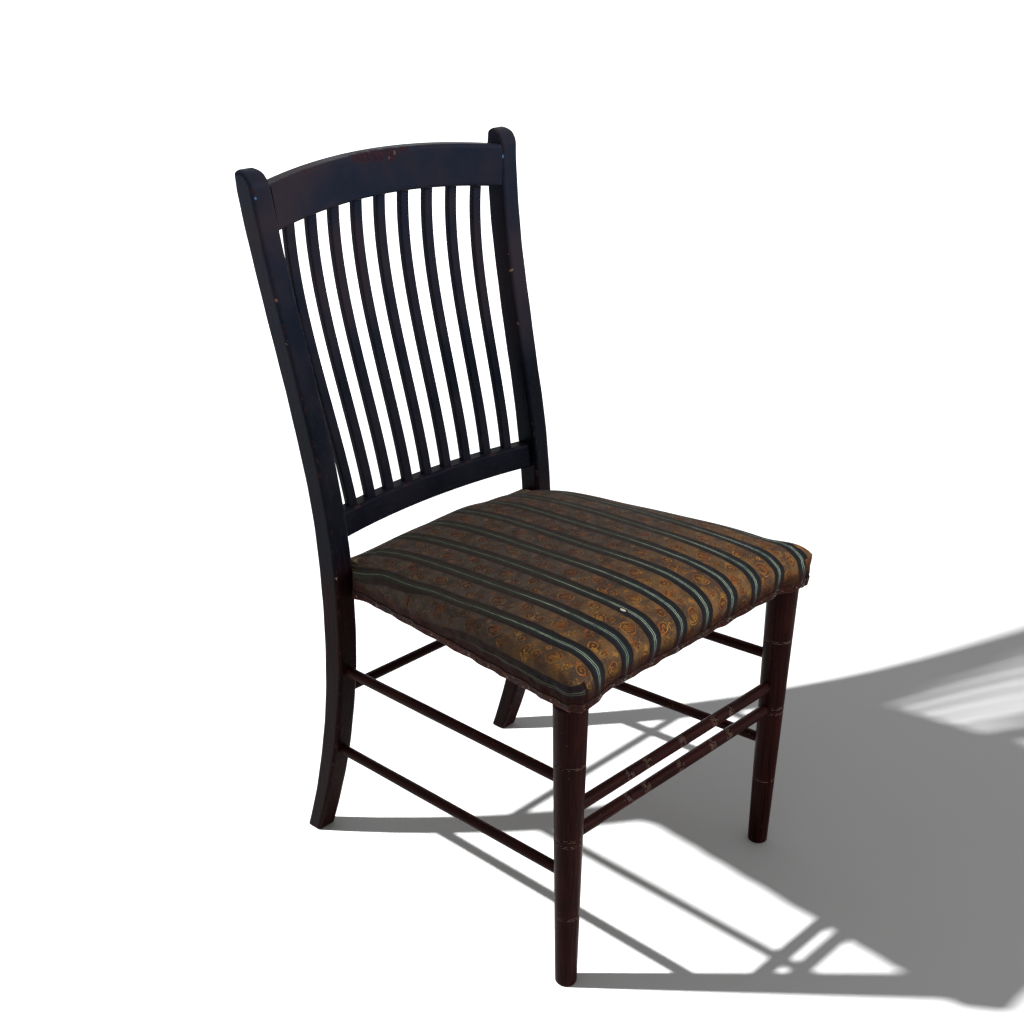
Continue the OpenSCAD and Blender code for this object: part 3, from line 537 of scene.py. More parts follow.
for name, node, values in (
    ("top_rail", "crest_rail", (CREST_FACE, CREST_MID, CREST_TALL, CREST_DEEP, CREST_TILT, ARCH, 5.0)),
    ("low_rail", "lower_back_rail", (LOWER_FACE, LOWER_MID, LOWER_TALL, LOWER_DEEP, LOWER_TILT, 0.0, 3.4)),
):
    grid, mark = rail_grid(*values)
    add_bar(name, grid, "back_wood", rail_paint, node, corner=mark)

# %% [markdown]
# ## Nine curved slats
# The slats are thin sticks steamed to an S and let into both rails. Their side view is one
# cubic between the rails, and they fan out upwards. Each is a narrow rounded ring carried up
# that curve. They differ only in their place, so one function makes them all.

# %% Build the slats
SLATS, SLAT_WIDE, SLAT_DEEP, SLAT_TENON, SLAT_MARGIN = 9, 15.5, 9.5, 11.5, 31.5
LOW_SLOPE, HIGH_SLOPE = 0.2, 0.05
LOWER_TOP, CREST_BOTTOM = LOWER_LOW + LOWER_TALL, CREST_TOP - CREST_TALL


def slat_center(z):
    """A cubic that leans back at its low end and forward at its high one, then runs on straight."""
    t = (z - LOWER_TOP) / (CREST_BOTTOM - LOWER_TOP)
    u = np.clip(t, 0, 1)
    low = LOWER_FACE + LOWER_DEEP / 2 + (LOWER_TOP - LOWER_MID) * LOWER_TILT
    high = CREST_FACE + CREST_DEEP / 2 + (CREST_BOTTOM - CREST_MID) * CREST_TILT
    bend = LOW_SLOPE * (u ** 3 - 2 * u * u + u) - HIGH_SLOPE * (u ** 3 - u * u)
    run_on = LOW_SLOPE * np.minimum(0, z - LOWER_TOP) - HIGH_SLOPE * np.maximum(0, z - CREST_BOTTOM)
    return low + (high - low) * (3 * u * u - 2 * u ** 3) + (CREST_BOTTOM - LOWER_TOP) * bend + run_on


def slat_grid(k):
    """Rings along the cubic, at k pitches from the middle."""
    low_pitch = 2 * (post_inner(LOWER_TOP) - SLAT_MARGIN) / (SLATS - 1)
    high_pitch = 2 * (post_inner(CREST_BOTTOM) - SLAT_MARGIN) / (SLATS - 1)
    top_x = k * high_pitch
    top = CREST_BOTTOM - ARCH * (top_x / post_inner(CREST_MID)) ** 2 + SLAT_TENON
    z = np.linspace(LOWER_TOP - SLAT_TENON, top, 72)
    x = k * (low_pitch + (high_pitch - low_pitch) * (z - LOWER_TOP) / (CREST_BOTTOM - LOWER_TOP))
    ring, mark = rounded_ring(np.full(len(z), SLAT_WIDE / 2), SLAT_DEEP / 2, 2.4, arc=5)
    y = slat_center(z) - sagitta(x)
    grid = xyz(x[:, None] + ring[..., 0], y[:, None] + ring[..., 1], z[:, None])
    return grid, np.broadcast_to(mark, ring.shape[:2])


for number in range(1, SLATS + 1):
    grid, mark = slat_grid(number - (SLATS + 1) / 2)
    add_bar(f"slat_{number}", grid, "back_wood", slat_paint, f"back_slat_{number}", corner=0.8 * mark)

# %% [markdown]
# ## Turned legs and stretchers
# Legs and stretchers come off a lathe, so each is a circle carried along a straight axis. The
# turner cuts a shallow V for each ring. A Screw modifier would turn a profile too, but here the
# axis leans and the leg's top is cut by the slanted seat, which a formula does in one step.

# %% A turned bar
def across(direction):
    """Two directions square to a bar's own and to each other."""
    direction = direction / np.linalg.norm(direction)
    helper = np.array([0.0, 0.0, 1.0]) if abs(direction[2]) < 0.9 else np.array([0.0, 1.0, 0.0])
    first = np.cross(helper, direction)
    first /= np.linalg.norm(first)
    return first, np.cross(direction, first)


def stations(length, rings, spacing, width=1.8):
    """Places along a bar: even ones, and nine close ones round each turned ring."""
    near = width * np.array([-1.0, -0.65, -0.5, -0.28, 0, 0.28, 0.5, 0.65, 1.0])
    even = np.linspace(0, length, max(3, int(length / spacing)))
    cuts = (np.asarray(rings, float)[:, None] + near).ravel()
    keep = np.min(np.abs(even[:, None] - cuts[None, :]), 1) > 1.5 if len(cuts) else even > -1
    return np.unique(np.concatenate([even[keep], cuts, [0, length]]).round(4))


def ring_cut(h, rings, width=1.8, depth=0.8):
    """The V's depth at each place, and a mark that is 1 on its lips and -1 in its bottom."""
    if not len(rings):
        return np.zeros_like(h), np.zeros_like(h)
    away = np.abs(h[:, None] - np.asarray(rings, float)).min(1)
    cut = depth * np.clip(1 - away / (width / 2), 0, 1)
    return cut, np.where(away < 0.3 * width, -1.0, np.clip(1.6 - away / (width * 0.62), 0, 1))


def turned_bar(start, end, radius, rings=(), sides=32, spacing=12.0, sway=0.12):
    """A circle of slightly uneven radius at each station on the line from start to end."""
    start, end = np.asarray(start, float), np.asarray(end, float)
    length = np.linalg.norm(end - start)
    h = stations(length, rings, spacing)
    cut, lip = ring_cut(h, rings)
    r = radius + sway * np.sin(h / 31.0) - cut
    r = r - 0.8 * np.exp(-h / 0.7) - 0.8 * np.exp(-(length - h) / 0.7)
    turn = np.linspace(0, 2 * np.pi, sides, endpoint=False)
    one, two = across(end - start)
    circle = np.cos(turn)[:, None] * one + np.sin(turn)[:, None] * two
    grid = start + (end - start) * (h / length)[:, None, None] + r[:, None, None] * circle
    return grid, np.broadcast_to(lip[:, None], grid.shape[:2])


# %% [markdown]
# ## The front legs
# A front leg tapers to the floor, leans out and forward a little, and ends under the seat frame.
# Its rings sit at four heights. Each column of points ends on the sloping underside of the seat.

# %% Build the front legs
SPLAY, LEG_LEAN, TILT = np.radians(1.15), np.radians(0.7), np.radians(1.95)
LEG_RINGS = [101.0, 206.0, 214.0, 313.0]
LEG_OUT, LEG_EVEN, LEG_FOOT, LEG_TOP = 202.0, 370.0, 13.2, 20.4


def leg_axis(side):
    """The unit direction of a leg: turned out by the splay, then forward by the lean."""
    return np.array([side * np.sin(SPLAY) * np.cos(LEG_LEAN), -np.sin(LEG_LEAN),
                     np.cos(SPLAY) * np.cos(LEG_LEAN)])


def leg_radius(h):
    return np.interp(h, [0, SEAT], [LEG_FOOT, LEG_TOP])


def seat_underside(y):
    """The plane of the frame's underside, which falls towards the back."""
    return SEAT - np.asarray(y, float) * np.tan(TILT)


def leg_grid(side, sides=48):
    """Circles about the leaning axis; the last rows stretch so that they end on the seat plane."""
    foot = FOOT_ROUND * (1 - np.cos(np.linspace(0.2, np.pi / 2, 5)))
    h = np.concatenate([foot, stations(LEG_EVEN, LEG_RINGS, 9.0)[1:]])
    h = h[np.concatenate([[True], np.diff(h) > 0.05])]
    cut, lip = ring_cut(h, LEG_RINGS)
    r = leg_radius(h) - cut - quarter_round(FOOT_ROUND - h, 0, FOOT_ROUND)
    turn = np.linspace(0, 2 * np.pi, sides, endpoint=False)
    axis, base = leg_axis(side), np.array([side * LEG_OUT, 0.0, 0.0])
    one, two = across(axis)
    circle = np.cos(turn)[:, None] * one + np.sin(turn)[:, None] * two
    grid = base + h[:, None, None] * axis + r[:, None, None] * circle
    grid[0, :, 2] = 0.0
    last = base + SEAT * axis + leg_radius(SEAT) * circle
    top_h = LEG_EVEN + (seat_underside(last[:, 1]) - 0.1 - (grid[-1, :, 2])) / axis[2]
    share = np.linspace(0, 1, 5)[1:, None]
    more = h[-1] + share * (top_h - h[-1])[None, :]
    cap = base + more[..., None] * axis + leg_radius(more)[..., None] * circle
    lips = np.concatenate([lip, np.zeros(4)])
    return np.concatenate([grid, cap]), np.broadcast_to(lips[:, None], (len(lips), sides))


for side, word in ((LEFT, "left"), (RIGHT, "right")):
    grid, lip = leg_grid(side)
    add_bar(f"leg_{word}", grid, "leg_wood", upright_stain, f"{word}_front_leg", lip=lip)

# %% [markdown]
# ## Seven stretchers
# Two ringed stretchers join the front legs, two plain ones run back on each side, and one joins
# the back posts. Their ends are hidden in sockets, so each stops just short of the wood's middle.

# %% Build the stretchers
def leg_point(side, z):
    return np.array([side * (LEG_OUT + z * np.tan(SPLAY)), -z * np.tan(LEG_LEAN), z])


def post_point(side, z):
    return np.array([side * float(post_x(z)), float(post_front(z) + post_depth(z) / 2), z])


RING_GROUPS, RING_PITCH = [-102, -67, 0, 67, 102], 4.0
FRONT_RADIUS, SIDE_RADIUS, BACK_RADIUS = 7.8, 6.9, 6.5
FRONT_SHORT, SIDE_SHORT, BACK_SHORT = 9.0, 6.0, 8.0
for z, level in ((210.0, "lower"), (245.0, "upper")):
    ends = leg_point(LEFT, z) + [FRONT_SHORT, 0, 0], leg_point(RIGHT, z) - [FRONT_SHORT, 0, 0]
    half = ends[1][0]
    rings = [half + g + k * RING_PITCH for g in RING_GROUPS for k in (-1, 0, 1)]
    grid, lip = turned_bar(*ends, FRONT_RADIUS, rings)
    add_bar(f"stretcher_front_{level}", grid, "leg_wood", cross_stain, f"front_stretcher_{level}", lip=lip)
for side, word in ((LEFT, "left"), (RIGHT, "right")):
    for low, high, level in ((157.0, 145.0, "lower"), (284.0, 271.0, "upper")):
        start, end = leg_point(side, low), post_point(side, high)
        along = (end - start) / np.linalg.norm(end - start)
        grid, lip = turned_bar(start + SIDE_SHORT * along, end - SIDE_SHORT * along, SIDE_RADIUS)
        add_bar(f"stretcher_{word}_{level}", grid, "leg_wood", side_stain, f"{word}_stretcher_{level}",
                lip=lip)
ends = [post_point(side, 235.0) - [side * BACK_SHORT, 0, 0] for side in (LEFT, RIGHT)]
grid, lip = turned_bar(*ends, BACK_RADIUS)
add_bar("stretcher_back", grid, "leg_wood", cross_stain, "back_stretcher", lip=lip)

# %% [markdown]
# ## The fabric: stripes and scrolls
# The seat is covered in a woven stripe. Dark green-black bands carry a pale double line, and the
# brown panels between them carry a ring flower, a curled scroll and small blossoms in rust and
# old gold, which repeat along each panel and are staggered from one panel to the next. An image
# would be the usual way. Here the pattern is drawn with distances in the fabric's own plane, so
# it is sharp at any size. Noise bends the lines and fades them, and the skirt is darker towards its hem.

# %% Motifs drawn with distances
STRIPE_PITCH, STRIPE_SHIFT, REPEAT = 50.3, 8.8, 96.0


def line(f, distance, thickness):
    """1 where a distance is near 0, with soft edges, in millimetres of fabric."""
    return f.step(f.distance(distance), thickness, thickness * 0.45)


def lengths(f, a, b):
    return f.calc("SQRT", f.plus(f.times(a, a), f.times(b, b)))


def ring_flower(f, a, q):
    """An oval ring, a smaller broken ring in it, and a slanting bean in the middle."""
    oval = lengths(f, f.divided(a, 0.82), q)
    slant = f.plus(f.times(a, 0.82), f.times(q, 0.57))
    cross = f.minus(f.times(q, 0.82), f.times(a, 0.57))
    bean = lengths(f, slant, f.largest(f.minus(f.distance(cross), 3.2), 0.0))
    outline = line(f, f.minus(oval, 10.2), 0.85)
    core = f.largest(line(f, f.minus(bean, 2.6), 0.8), f.step(bean, 1.2, 0.5))
    inner = f.times(line(f, f.minus(oval, 7.0), 0.7), f.step(cross, 2.5, -1.0))
    return f.largest(outline, core, inner), f.step(oval, 11.0, 9.0)


def curl(f, a, q, turn, size):
    """A spiral line: the radius and the angle rise together."""
    r = lengths(f, a, q)
    angle = f.divided(f.calc("ARCTAN2", f.times(a, turn), q), 2 * np.pi)
    wave = f.calc("FRACT", f.plus(f.divided(r, 4.6), angle))
    near = line(f, f.minus(wave, 0.5), 0.2)
    return f.times(near, f.step(r, size, size - 1.2)), f.step(r, size + 0.5, size - 2)


def blossom(f, a, q, size, petals):
    """A circle whose radius rises and falls with the angle, round a dot."""
    r = lengths(f, a, q)
    wave = f.calc("COSINE", f.times(f.calc("ARCTAN2", a, q), petals))
    edge = f.minus(r, f.plus(f.times(wave, size * 0.28), size))
    return f.largest(line(f, edge, 0.85), f.step(r, 1.5, 0.8)), f.step(edge, 0.5, -1.0)


# %% [markdown]
# ## From motifs to cloth
# The fabric's own coordinates, in metres, come from the unrolled cover. One is the place across
# the stripes and the other runs along them. The lane number, the place in the lane and the
# place in the repeat follow from division, and each motif is placed by subtracting its centre.

# %% The seat fabric
def seat_fabric():
    f = Finish("striped_cloth", Specular_IOR_Level=0.06)
    uv = f.add("SeparateXYZ", {"Vector": f.add("UVMap", uv_map="weave").outputs[0]})
    slow, quick = f.noise(38, 2), f.noise(120, 3)
    u = f.scaled(uv.outputs["X"], 1000.0, f.scaled(slow, 2.4, -1.2))
    v = f.times(uv.outputs["Y"], 1000.0)
    lanes = f.divided(f.minus(u, STRIPE_SHIFT), STRIPE_PITCH)
    lane = f.calc("FLOOR", lanes)
    a = f.scaled(f.minus(lanes, lane), STRIPE_PITCH, -STRIPE_PITCH / 2)
    band = f.minus(STRIPE_PITCH / 2, f.distance(a))
    bent = f.scaled(quick, 7.0, -3.5)
    stagger = f.times(f.calc("PINGPONG", lane, 1.0), 0.5)
    along = f.plus(f.divided(v, REPEAT), f.scaled(lane, 0.13, stagger))

    def cell(shift, count=1.0):
        share = f.calc("FRACT", f.scaled(along, count, shift))
        return f.plus(f.scaled(share, REPEAT / count, -REPEAT / count / 2), bent)

    wobble = f.scaled(f.noise(135, 3), 7.0, -3.5)
    am = f.plus(f.scaled(slow, 4.0, f.minus(a, 2.0)), wobble)
    ring, ring_fill = ring_flower(f, am, cell(0.5))
    q = cell(0.0)
    one, one_fill = curl(f, f.plus(am, 5.5), f.plus(q, 9.0), 1.0, 9.0)
    two, two_fill = curl(f, f.minus(am, 5.5), f.minus(q, 8.0), -1.0, 8.0)
    three, _ = curl(f, f.minus(am, 6.5), f.plus(q, 9.5), 1.0, 5.0)
    q = cell(0.0, 2.0)
    star, star_fill = blossom(f, f.plus(am, 4.5), q, 4.6, 5.0)
    bud, _ = blossom(f, f.minus(am, 9.0), f.plus(q, 7.0), 2.6, 4.0)
    leaf, _ = blossom(f, f.plus(am, 10.5), f.minus(q, 10.0), 2.8, 2.0)
    vine = f.step(f.distance(f.noise(95, 1, 0.5, distortion=1.1), 0.5), 0.03, 0.008)
    motif = f.largest(ring, one, two, three, f.times(star, 0.8), bud, leaf, f.times(vine, 0.35))
    filled = f.largest(ring_fill, one_fill, two_fill, star_fill)

    # painted light: towards the front the cloth is painted brighter and more golden, and towards the back
    # greyer, a painted sheen
    front = f.step(v, 170.0, -25.0)
    worn = f.patches(34, 4, 0.4, 0.62)
    ground = f.between("403833", "544a43", f.step(f.noise(55, 4, 0.6), 0.35, 0.65))
    gold = f.between("554235", "83623e", worn)
    ground = f.mix(f.times(front, 0.85), ground, gold)
    ground = f.mix(f.times(filled, 0.5), ground, f.between("33221d", "4d2a1a", front))
    tint = f.patches(70, 3, 0.42, 0.62)
    thread = f.between("7c4b33", "7f6545", tint)
    thread = f.mix(f.times(front, 0.85), thread, f.between("b0642e", "cc9440", tint))
    stitches = f.patches(330, 2, 0.34, 0.5, 0.45, 1.0)
    shown = f.times(f.times(motif, stitches), f.patches(60, 3, 0.34, 0.58, 0.4, 1.0))
    inside = f.step(band, 10.4, 11.6)
    cloth = f.mix(f.times(shown, inside), ground, thread)

    dark = f.between("342c28", "211f21", front)
    cloth = f.mix(f.step(band, 11.4, 10.0), cloth, dark)
    green = f.between("3a3c34", "263539", front)
    cloth = f.mix(f.times(f.step(band, 6.5, 2.0), 0.9), cloth, green)
    pale = f.between("8b9280", "d2dabd", front)
    pair = f.step(f.distance(band, f.times(front, 1.25)), 0.42, 0.18)
    pair = f.times(pair, f.patches(60, 3, 0.25, 0.6, 0.35, 1.0))
    cloth = f.mix(pair, cloth, pale)
    yarn = f.step(f.noise(1.0, 2, 0.5, (900.0, 160.0, 500.0)), 0.32, 0.68, 0.0, 0.22)
    cloth = f.coat(cloth, "0d0908", yarn)

    # the skirt is painted darker towards its hem, with noise in its edge
    low = f.attribute("drop")
    darker_towards_hem = f.step(f.scaled(f.noise(60, 4), 0.6, low), 0.36, 0.85)
    cloth = f.coat(cloth, "271110", darker_towards_hem, 0.85)
    # painted shade: the cloth on the sides, which face away from the light, is painted darker
    on_sides = f.step(f.distance(u), 222.0, 242.0)
    cloth = f.coat(cloth, "200c0a", on_sides, 0.45)
    # painted shade: the fold attribute paints the pleat's slit and the notch beside it near-black
    cloth = f.coat(cloth, "050303", f.attribute("fold"), 0.95)
    hole = f.add("CombineXYZ", {0: f.divided(f.plus(u, 95.0), 3.0),
                                1: f.divided(f.minus(v, 16.0), 6.0)})
    tear = f.add("VectorMath", {0: hole.outputs[0]}, operation="LENGTH").outputs["Value"]
    cloth = f.coat(cloth, "0e0a08", f.step(tear, 1.35, 1.05))
    cloth = f.coat(cloth, "d8d2c4", f.step(tear, 0.8, 0.6))
    f.colour(f.coat(cloth, "8d8478", f.patches(480, 1, 0.77, 0.82), 0.25))
    f.rough(f.patches(90, 2, 0.3, 0.7, 0.72, 0.92))
    warp = f.calc("SINE", f.times(u, 2 * np.pi / 0.9))
    weft = f.calc("SINE", f.times(v, 2 * np.pi / 0.7))
    raised = f.scaled(motif, 1.2, f.times(f.times(warp, weft), 0.5))
    f.bump(f.minus(raised, f.times(f.step(tear, 1.3, 1.0), 3.0)), 0.00022, 0.7)
    return f.material


striped_cloth = seat_fabric()
print("fabric nodes:", len(striped_cloth.node_tree.nodes))

# %% [markdown]
# ## The shape of the seat
# An upholstered seat is widest just above its frame, rises through a rounded shoulder and ends
# in a flat crown. A pillow made from a cube and Subdivision would have the wrong corners. Here
# the top is a grid over the seat's plan. Its height is a crown that falls off with the fourth
# power towards front and back and with a softer power to the sides, times a quarter round at
# every edge, so that the cloth turns straight down where it meets the skirt.

# %% Plan and height of the seat
FRONT, BACK, CORNER = -31.5, 421.0, 40.0
WIDEST, TAPER, POST_GAP, CROWN = 239.9, 0.1315, 174.6, 33.5
EDGE_TOP, EDGE_FALL, EDGE_CLOTH, HEM_REACH = 429.5, 0.034, 7.5, 224.2


def seat_half(y):
    """Half the widest width: straight sides that close in, then the step round the posts."""
    y = np.asarray(y, float)
    side = WIDEST - TAPER * (y + 19.2)
    return side + (POST_GAP - side) * ramp(y, 380.5, 388.0)


def edge_height(y):
    return EDGE_TOP - EDGE_FALL * (np.asarray(y, float) + 31)


def arc_share(distance, radius):
    """The height of a quarter circle of radius 1, as a share, at a distance in from its edge."""
    t = 1 - np.clip(distance / radius, 0, 1)
    return np.sqrt(1 - t * t)


def turned_over(y):
    """How much cloth the rounded edge takes; in front the cloth is turned to lie along the hem."""
    return EDGE_CLOTH + (HEM_REACH - seat_half(y)) * (1 - ramp(y, 130, 240))


def pucker(y):
    """The ripple along the left edge, where the cloth is pulled towards the post."""
    return 1.7 * np.sin(y / 15.0 + 2.0) * ramp(y, 120, 230)


def seat_top(a, b):
    """a runs from -1 on the left to 1 on the right and b from 0 at the front to 1 at the back."""
    y = FRONT + (BACK - FRONT) * b
    half = seat_half(y)
    t = np.abs(a)
    crown = CROWN * (1 - ((y - 190) / 260) ** 4) - (9 + 10 * ramp(y, -31, 40)) * t ** 2.35
    side = arc_share((1 - t) * half, 12.0)
    front, back = arc_share(y - FRONT, 24.0), arc_share(BACK - y, 27.0)
    lumps = 0.8 * np.sin(a * 6.1 + 1.0) * np.sin(y / 49.0 + 0.6) + 0.4 * np.sin(a * 11.0 + y / 31.0)
    lumps = (1 - t ** 4) * lumps
    z = edge_height(y) + (crown + lumps) * side * front * back
    # round the two front corners: the square corner is drawn in to a high-power curve
    u = np.clip(1 - (1 - t) * half / CORNER, 0, 1)
    v = np.clip(1 - (y - FRONT) / CORNER, 0, 1)
    shrink = np.maximum(u, v) / np.maximum((u ** 8 + v ** 8) ** 0.125, 1e-9)
    x_out = np.where((u > 0) & (v > 0), half - CORNER * (1 - u * shrink), t * half)
    y_out = np.where((u > 0) & (v > 0), FRONT + CORNER * (1 - v * shrink), y)
    x = np.where(a < 0, -x_out, x_out)
    across_cloth = np.where(a < 0, -1, 1) * (t * half + turned_over(y) * t ** 20)
    pull = pucker(y) * ramp(-a, 0.75, 0.97)
    along_cloth = y - 0.55 * crown * (1 - front) + 0.55 * crown * (1 - back)
    return xyz(x, y_out, z), np.stack([across_cloth + pull, along_cloth], -1)


def spread(count):
    """Numbers from -1 to 1 that crowd towards both ends."""
    t = np.linspace(-1, 1, count)
    return 0.5 * np.sin(t * np.pi / 2) + 0.5 * t


print("half widths before and between the posts:", seat_half(378).round(1), seat_half(400).round(1))

# %% [markdown]
# ## The skirt of the cover
# Below its widest line the cloth turns under and is tacked to the frame's lower edge. Its rows
# follow the edge of the top all the way round. Between the legs the cloth is pulled in under the
# frame, but over each leg it is bunched into a pleat, so it stands proud there.

# %% The skirt as rows below the edge
def edge_loop(top):
    """The outside of a grid, in order: front to the right, right side, back, and left side."""
    return np.concatenate([top[0, :-1], top[:-1, -1], top[-1, :0:-1], top[:0:-1, 0]])


def loop_normals(loop):
    """Square to the line between each point's neighbours, in plan, pointing outwards."""
    along = np.roll(loop, -1, 0) - np.roll(loop, 1, 0)
    normal = np.stack([along[:, 1], -along[:, 0], np.zeros(len(loop))], -1)
    return normal / np.maximum(np.linalg.norm(normal, axis=1, keepdims=True), 1e-9)


def skirt_rows(loop, count):
    """Rows from just under the edge to the hem; each is the edge moved down and inwards."""
    x, y = np.abs(loop[:, 0]), loop[:, 1]
    normal = loop_normals(loop)
    w = np.linspace(0, 1, count + 1)[1:, None]
    near_front = ramp(-y, 22, 30)
    corner = ramp(x, 168, 200) * near_front * (1 - ramp(x, 224, 233))
    by_post = ramp(y, 360, 384)
    tuck = (9.8 * near_front * (1 - corner) + 8.0 * (1 - near_front) * (1 - by_post)) * w ** 1.8
    tuck = tuck + corner * (1.5 * w - 3.2 * np.sin(np.pi * w ** 0.9))
    hem = seat_underside(y) + 1.4 - 1.2 * corner
    rows = loop[None] - tuck[..., None] * normal[None]
    rows[..., 2] = loop[None, :, 2] + (hem - loop[:, 2])[None] * w
    return rows, normal


# %% [markdown]
# ## Letting the cloth relax
# A formula alone looks machine made. A coarse copy of the cover is pinned at its tacks, gets a
# little slack and some air pressure in place of the stuffing, and is let go for twenty frames of
# Cloth. How far each point moved is read back, limited to a few millimetres, and added to the
# fine surface, so that the fabric's coordinates and the pleat are not lost.

# %% Simulate on a coarse grid
FINE, TOP_A, TOP_B, SKIRT = 3, 45, 41, 6


def grid_faces(rows, cols):
    r, c = np.arange(rows - 1)[:, None], np.arange(cols - 1)[None, :]
    first = r * cols + c
    return np.stack([first, first + 1, first + cols + 1, first + cols], -1).reshape(-1, 4)


def cover_faces(rows, cols, skirt):
    """The top's quads, then a ring of quads for each row of the skirt; the edge is shared."""
    index = np.arange(rows * cols).reshape(rows, cols)
    edge = edge_loop(index[..., None])[:, 0]
    levels = np.vstack([edge, rows * cols + np.arange(skirt * len(edge)).reshape(skirt, -1)])
    beside = np.roll(levels, -1, 1)
    ring = np.stack([levels[:-1], levels[1:], beside[1:], beside[:-1]], -1)
    return np.vstack([grid_faces(rows, cols), ring.reshape(-1, 4)]), edge


def finer(values, times):
    """Straight steps between neighbours along the first axis, times as many of them."""
    count = len(values)
    at = np.linspace(0, count - 1, times * (count - 1) + 1)
    low = np.minimum(at.astype(int), count - 2)
    share = (at - low).reshape(-1, *[1] * (values.ndim - 1))
    return values[low] * (1 - share) + values[low + 1] * share


def relax(points, faces, edge, cap):
    """Runs Cloth for twenty frames and returns how far each point moved, in millimetres."""
    cloth = new_object("relaxing", place(points).tolist(), faces.tolist())
    rows = np.arange(len(points) - SKIRT * len(edge), len(points)).reshape(SKIRT, -1)
    pins = cloth.vertex_groups.new(name="pins")
    pins.add(rows[-1, ::3].tolist(), 1.0, "REPLACE")
    pins.add(rows[-1, 1::3].tolist() + rows[-1, 2::3].tolist(), 0.85, "REPLACE")
    pins.add(rows[:-1].ravel().tolist(), 0.25, "REPLACE")
    near_post = edge[(points[edge, 1] > 378)]
    pins.add(near_post.tolist(), 0.9, "REPLACE")
    settings = cloth.modifiers.new("cloth", "CLOTH").settings
    settings.quality, settings.mass, settings.bending_stiffness = 6, 0.3, 0.8
    settings.tension_stiffness = settings.compression_stiffness = 20
    settings.use_pressure, settings.uniform_pressure_force = True, 4.0
    settings.shrink_min, settings.vertex_group_mass = -0.012, "pins"
    settings.effector_weights.gravity = 0.0
    for number in range(1, 21):
        bpy.context.scene.frame_set(number)
    graph = bpy.context.evaluated_depsgraph_get()
    result = np.empty(len(points) * 3)
    cloth.evaluated_get(graph).data.vertices.foreach_get("co", result)
    moved = 1000 * (result.reshape(-1, 3) - place(points))
    bpy.context.scene.frame_set(1)
    bpy.data.objects.remove(cloth)
    size = np.linalg.norm(moved, axis=1, keepdims=True)
    print("cloth moved at most", size.max().round(2), "mm before the limit")
    return moved * cap / (cap + size)


a_coarse, b_coarse = spread(TOP_A), (spread(TOP_B) + 1) / 2
top, _ = seat_top(*np.meshgrid(a_coarse, b_coarse))
loop = edge_loop(top)
rows, _ = skirt_rows(loop, SKIRT)
faces, edge = cover_faces(TOP_B, TOP_A, SKIRT)
coarse = np.vstack([top.reshape(-1, 3), rows.reshape(-1, 3)])
moved = relax(coarse, faces, edge, 3.5)

# %% [markdown]
# ## The finished cover
# The same functions now run on a grid three times finer. The pleat on each front corner is a
# narrow slit with a rolled fold beside it. The fabric's coordinates are unrolled from the top
# down each side, and the cloth of the side is carried round the corner as far as the pleat. One
# Solidify gives the cloth its thickness, inwards.

# %% Build the cover
PLEAT = 218.0
a_fine, b_fine = finer(a_coarse, FINE), finer(b_coarse, FINE)
top, top_cloth = seat_top(*np.meshgrid(a_fine, b_fine))
rows_b, cols_a, _ = top.shape
top_moved = moved[:TOP_A * TOP_B].reshape(TOP_B, TOP_A, 3)
for _ in range(4):
    around_it = top_moved[:-2, 1:-1] + top_moved[2:, 1:-1] + top_moved[1:-1, :-2] + top_moved[1:-1, 2:]
    top_moved[1:-1, 1:-1] = (2 * top_moved[1:-1, 1:-1] + around_it) / 6
top_moved = finer(np.swapaxes(finer(top_moved, FINE), 0, 1), FINE).swapaxes(0, 1)
loop, loop_cloth = edge_loop(top), edge_loop(top_cloth)
skirt, normal = skirt_rows(loop, SKIRT * FINE)
levels = np.concatenate([edge_loop(top_moved[::FINE, ::FINE])[None],
                         moved[TOP_A * TOP_B:].reshape(SKIRT, -1, 3)])
levels = finer(np.concatenate([levels, levels[:, :1]], 1).swapaxes(0, 1), FINE)[:-1]
skirt = skirt + finer(levels.swapaxes(0, 1), FINE)[1:]
top = top + top_moved

edge_x, edge_y = loop[:, 0], loop[:, 1]
down = np.concatenate([loop[None] + edge_loop(top_moved)[None], skirt])
w = np.linspace(0, 1, len(down))[:, None]
gap = np.abs(edge_x) - PLEAT
on_front = ramp(-edge_y, 18, 26)
slit = on_front * np.exp(-(gap / 1.6) ** 2) * ramp(w, 0.02, 0.2) * np.where(edge_x < 0, 1.0, 0.3)
roll = on_front * np.exp(-((gap + 4.5) / 2.6) ** 2) * ramp(w, 0.0, 0.3)
back_roll = on_front * np.exp(-((gap - 4.0) / 2.6) ** 2) * ramp(w, 0.1, 0.4)
down = down + (1.5 * roll + 0.8 * back_roll - 2.4 * slit)[..., None] * normal
folds = (0.5 * np.sin(edge_x / 7.3) * on_front + 0.4 * np.sin(edge_y / 8.9) * (1 - on_front))
down = down + (folds * w * w * (1 - ramp(edge_y, 370, 385)))[..., None] * normal
skirt = down[1:]
faces, edge = cover_faces(rows_b, cols_a, SKIRT * FINE)
cover = np.vstack([top.reshape(-1, 3), skirt.reshape(-1, 3)])
print("cover rows and columns:", top.shape[:2], skirt.shape[:2])

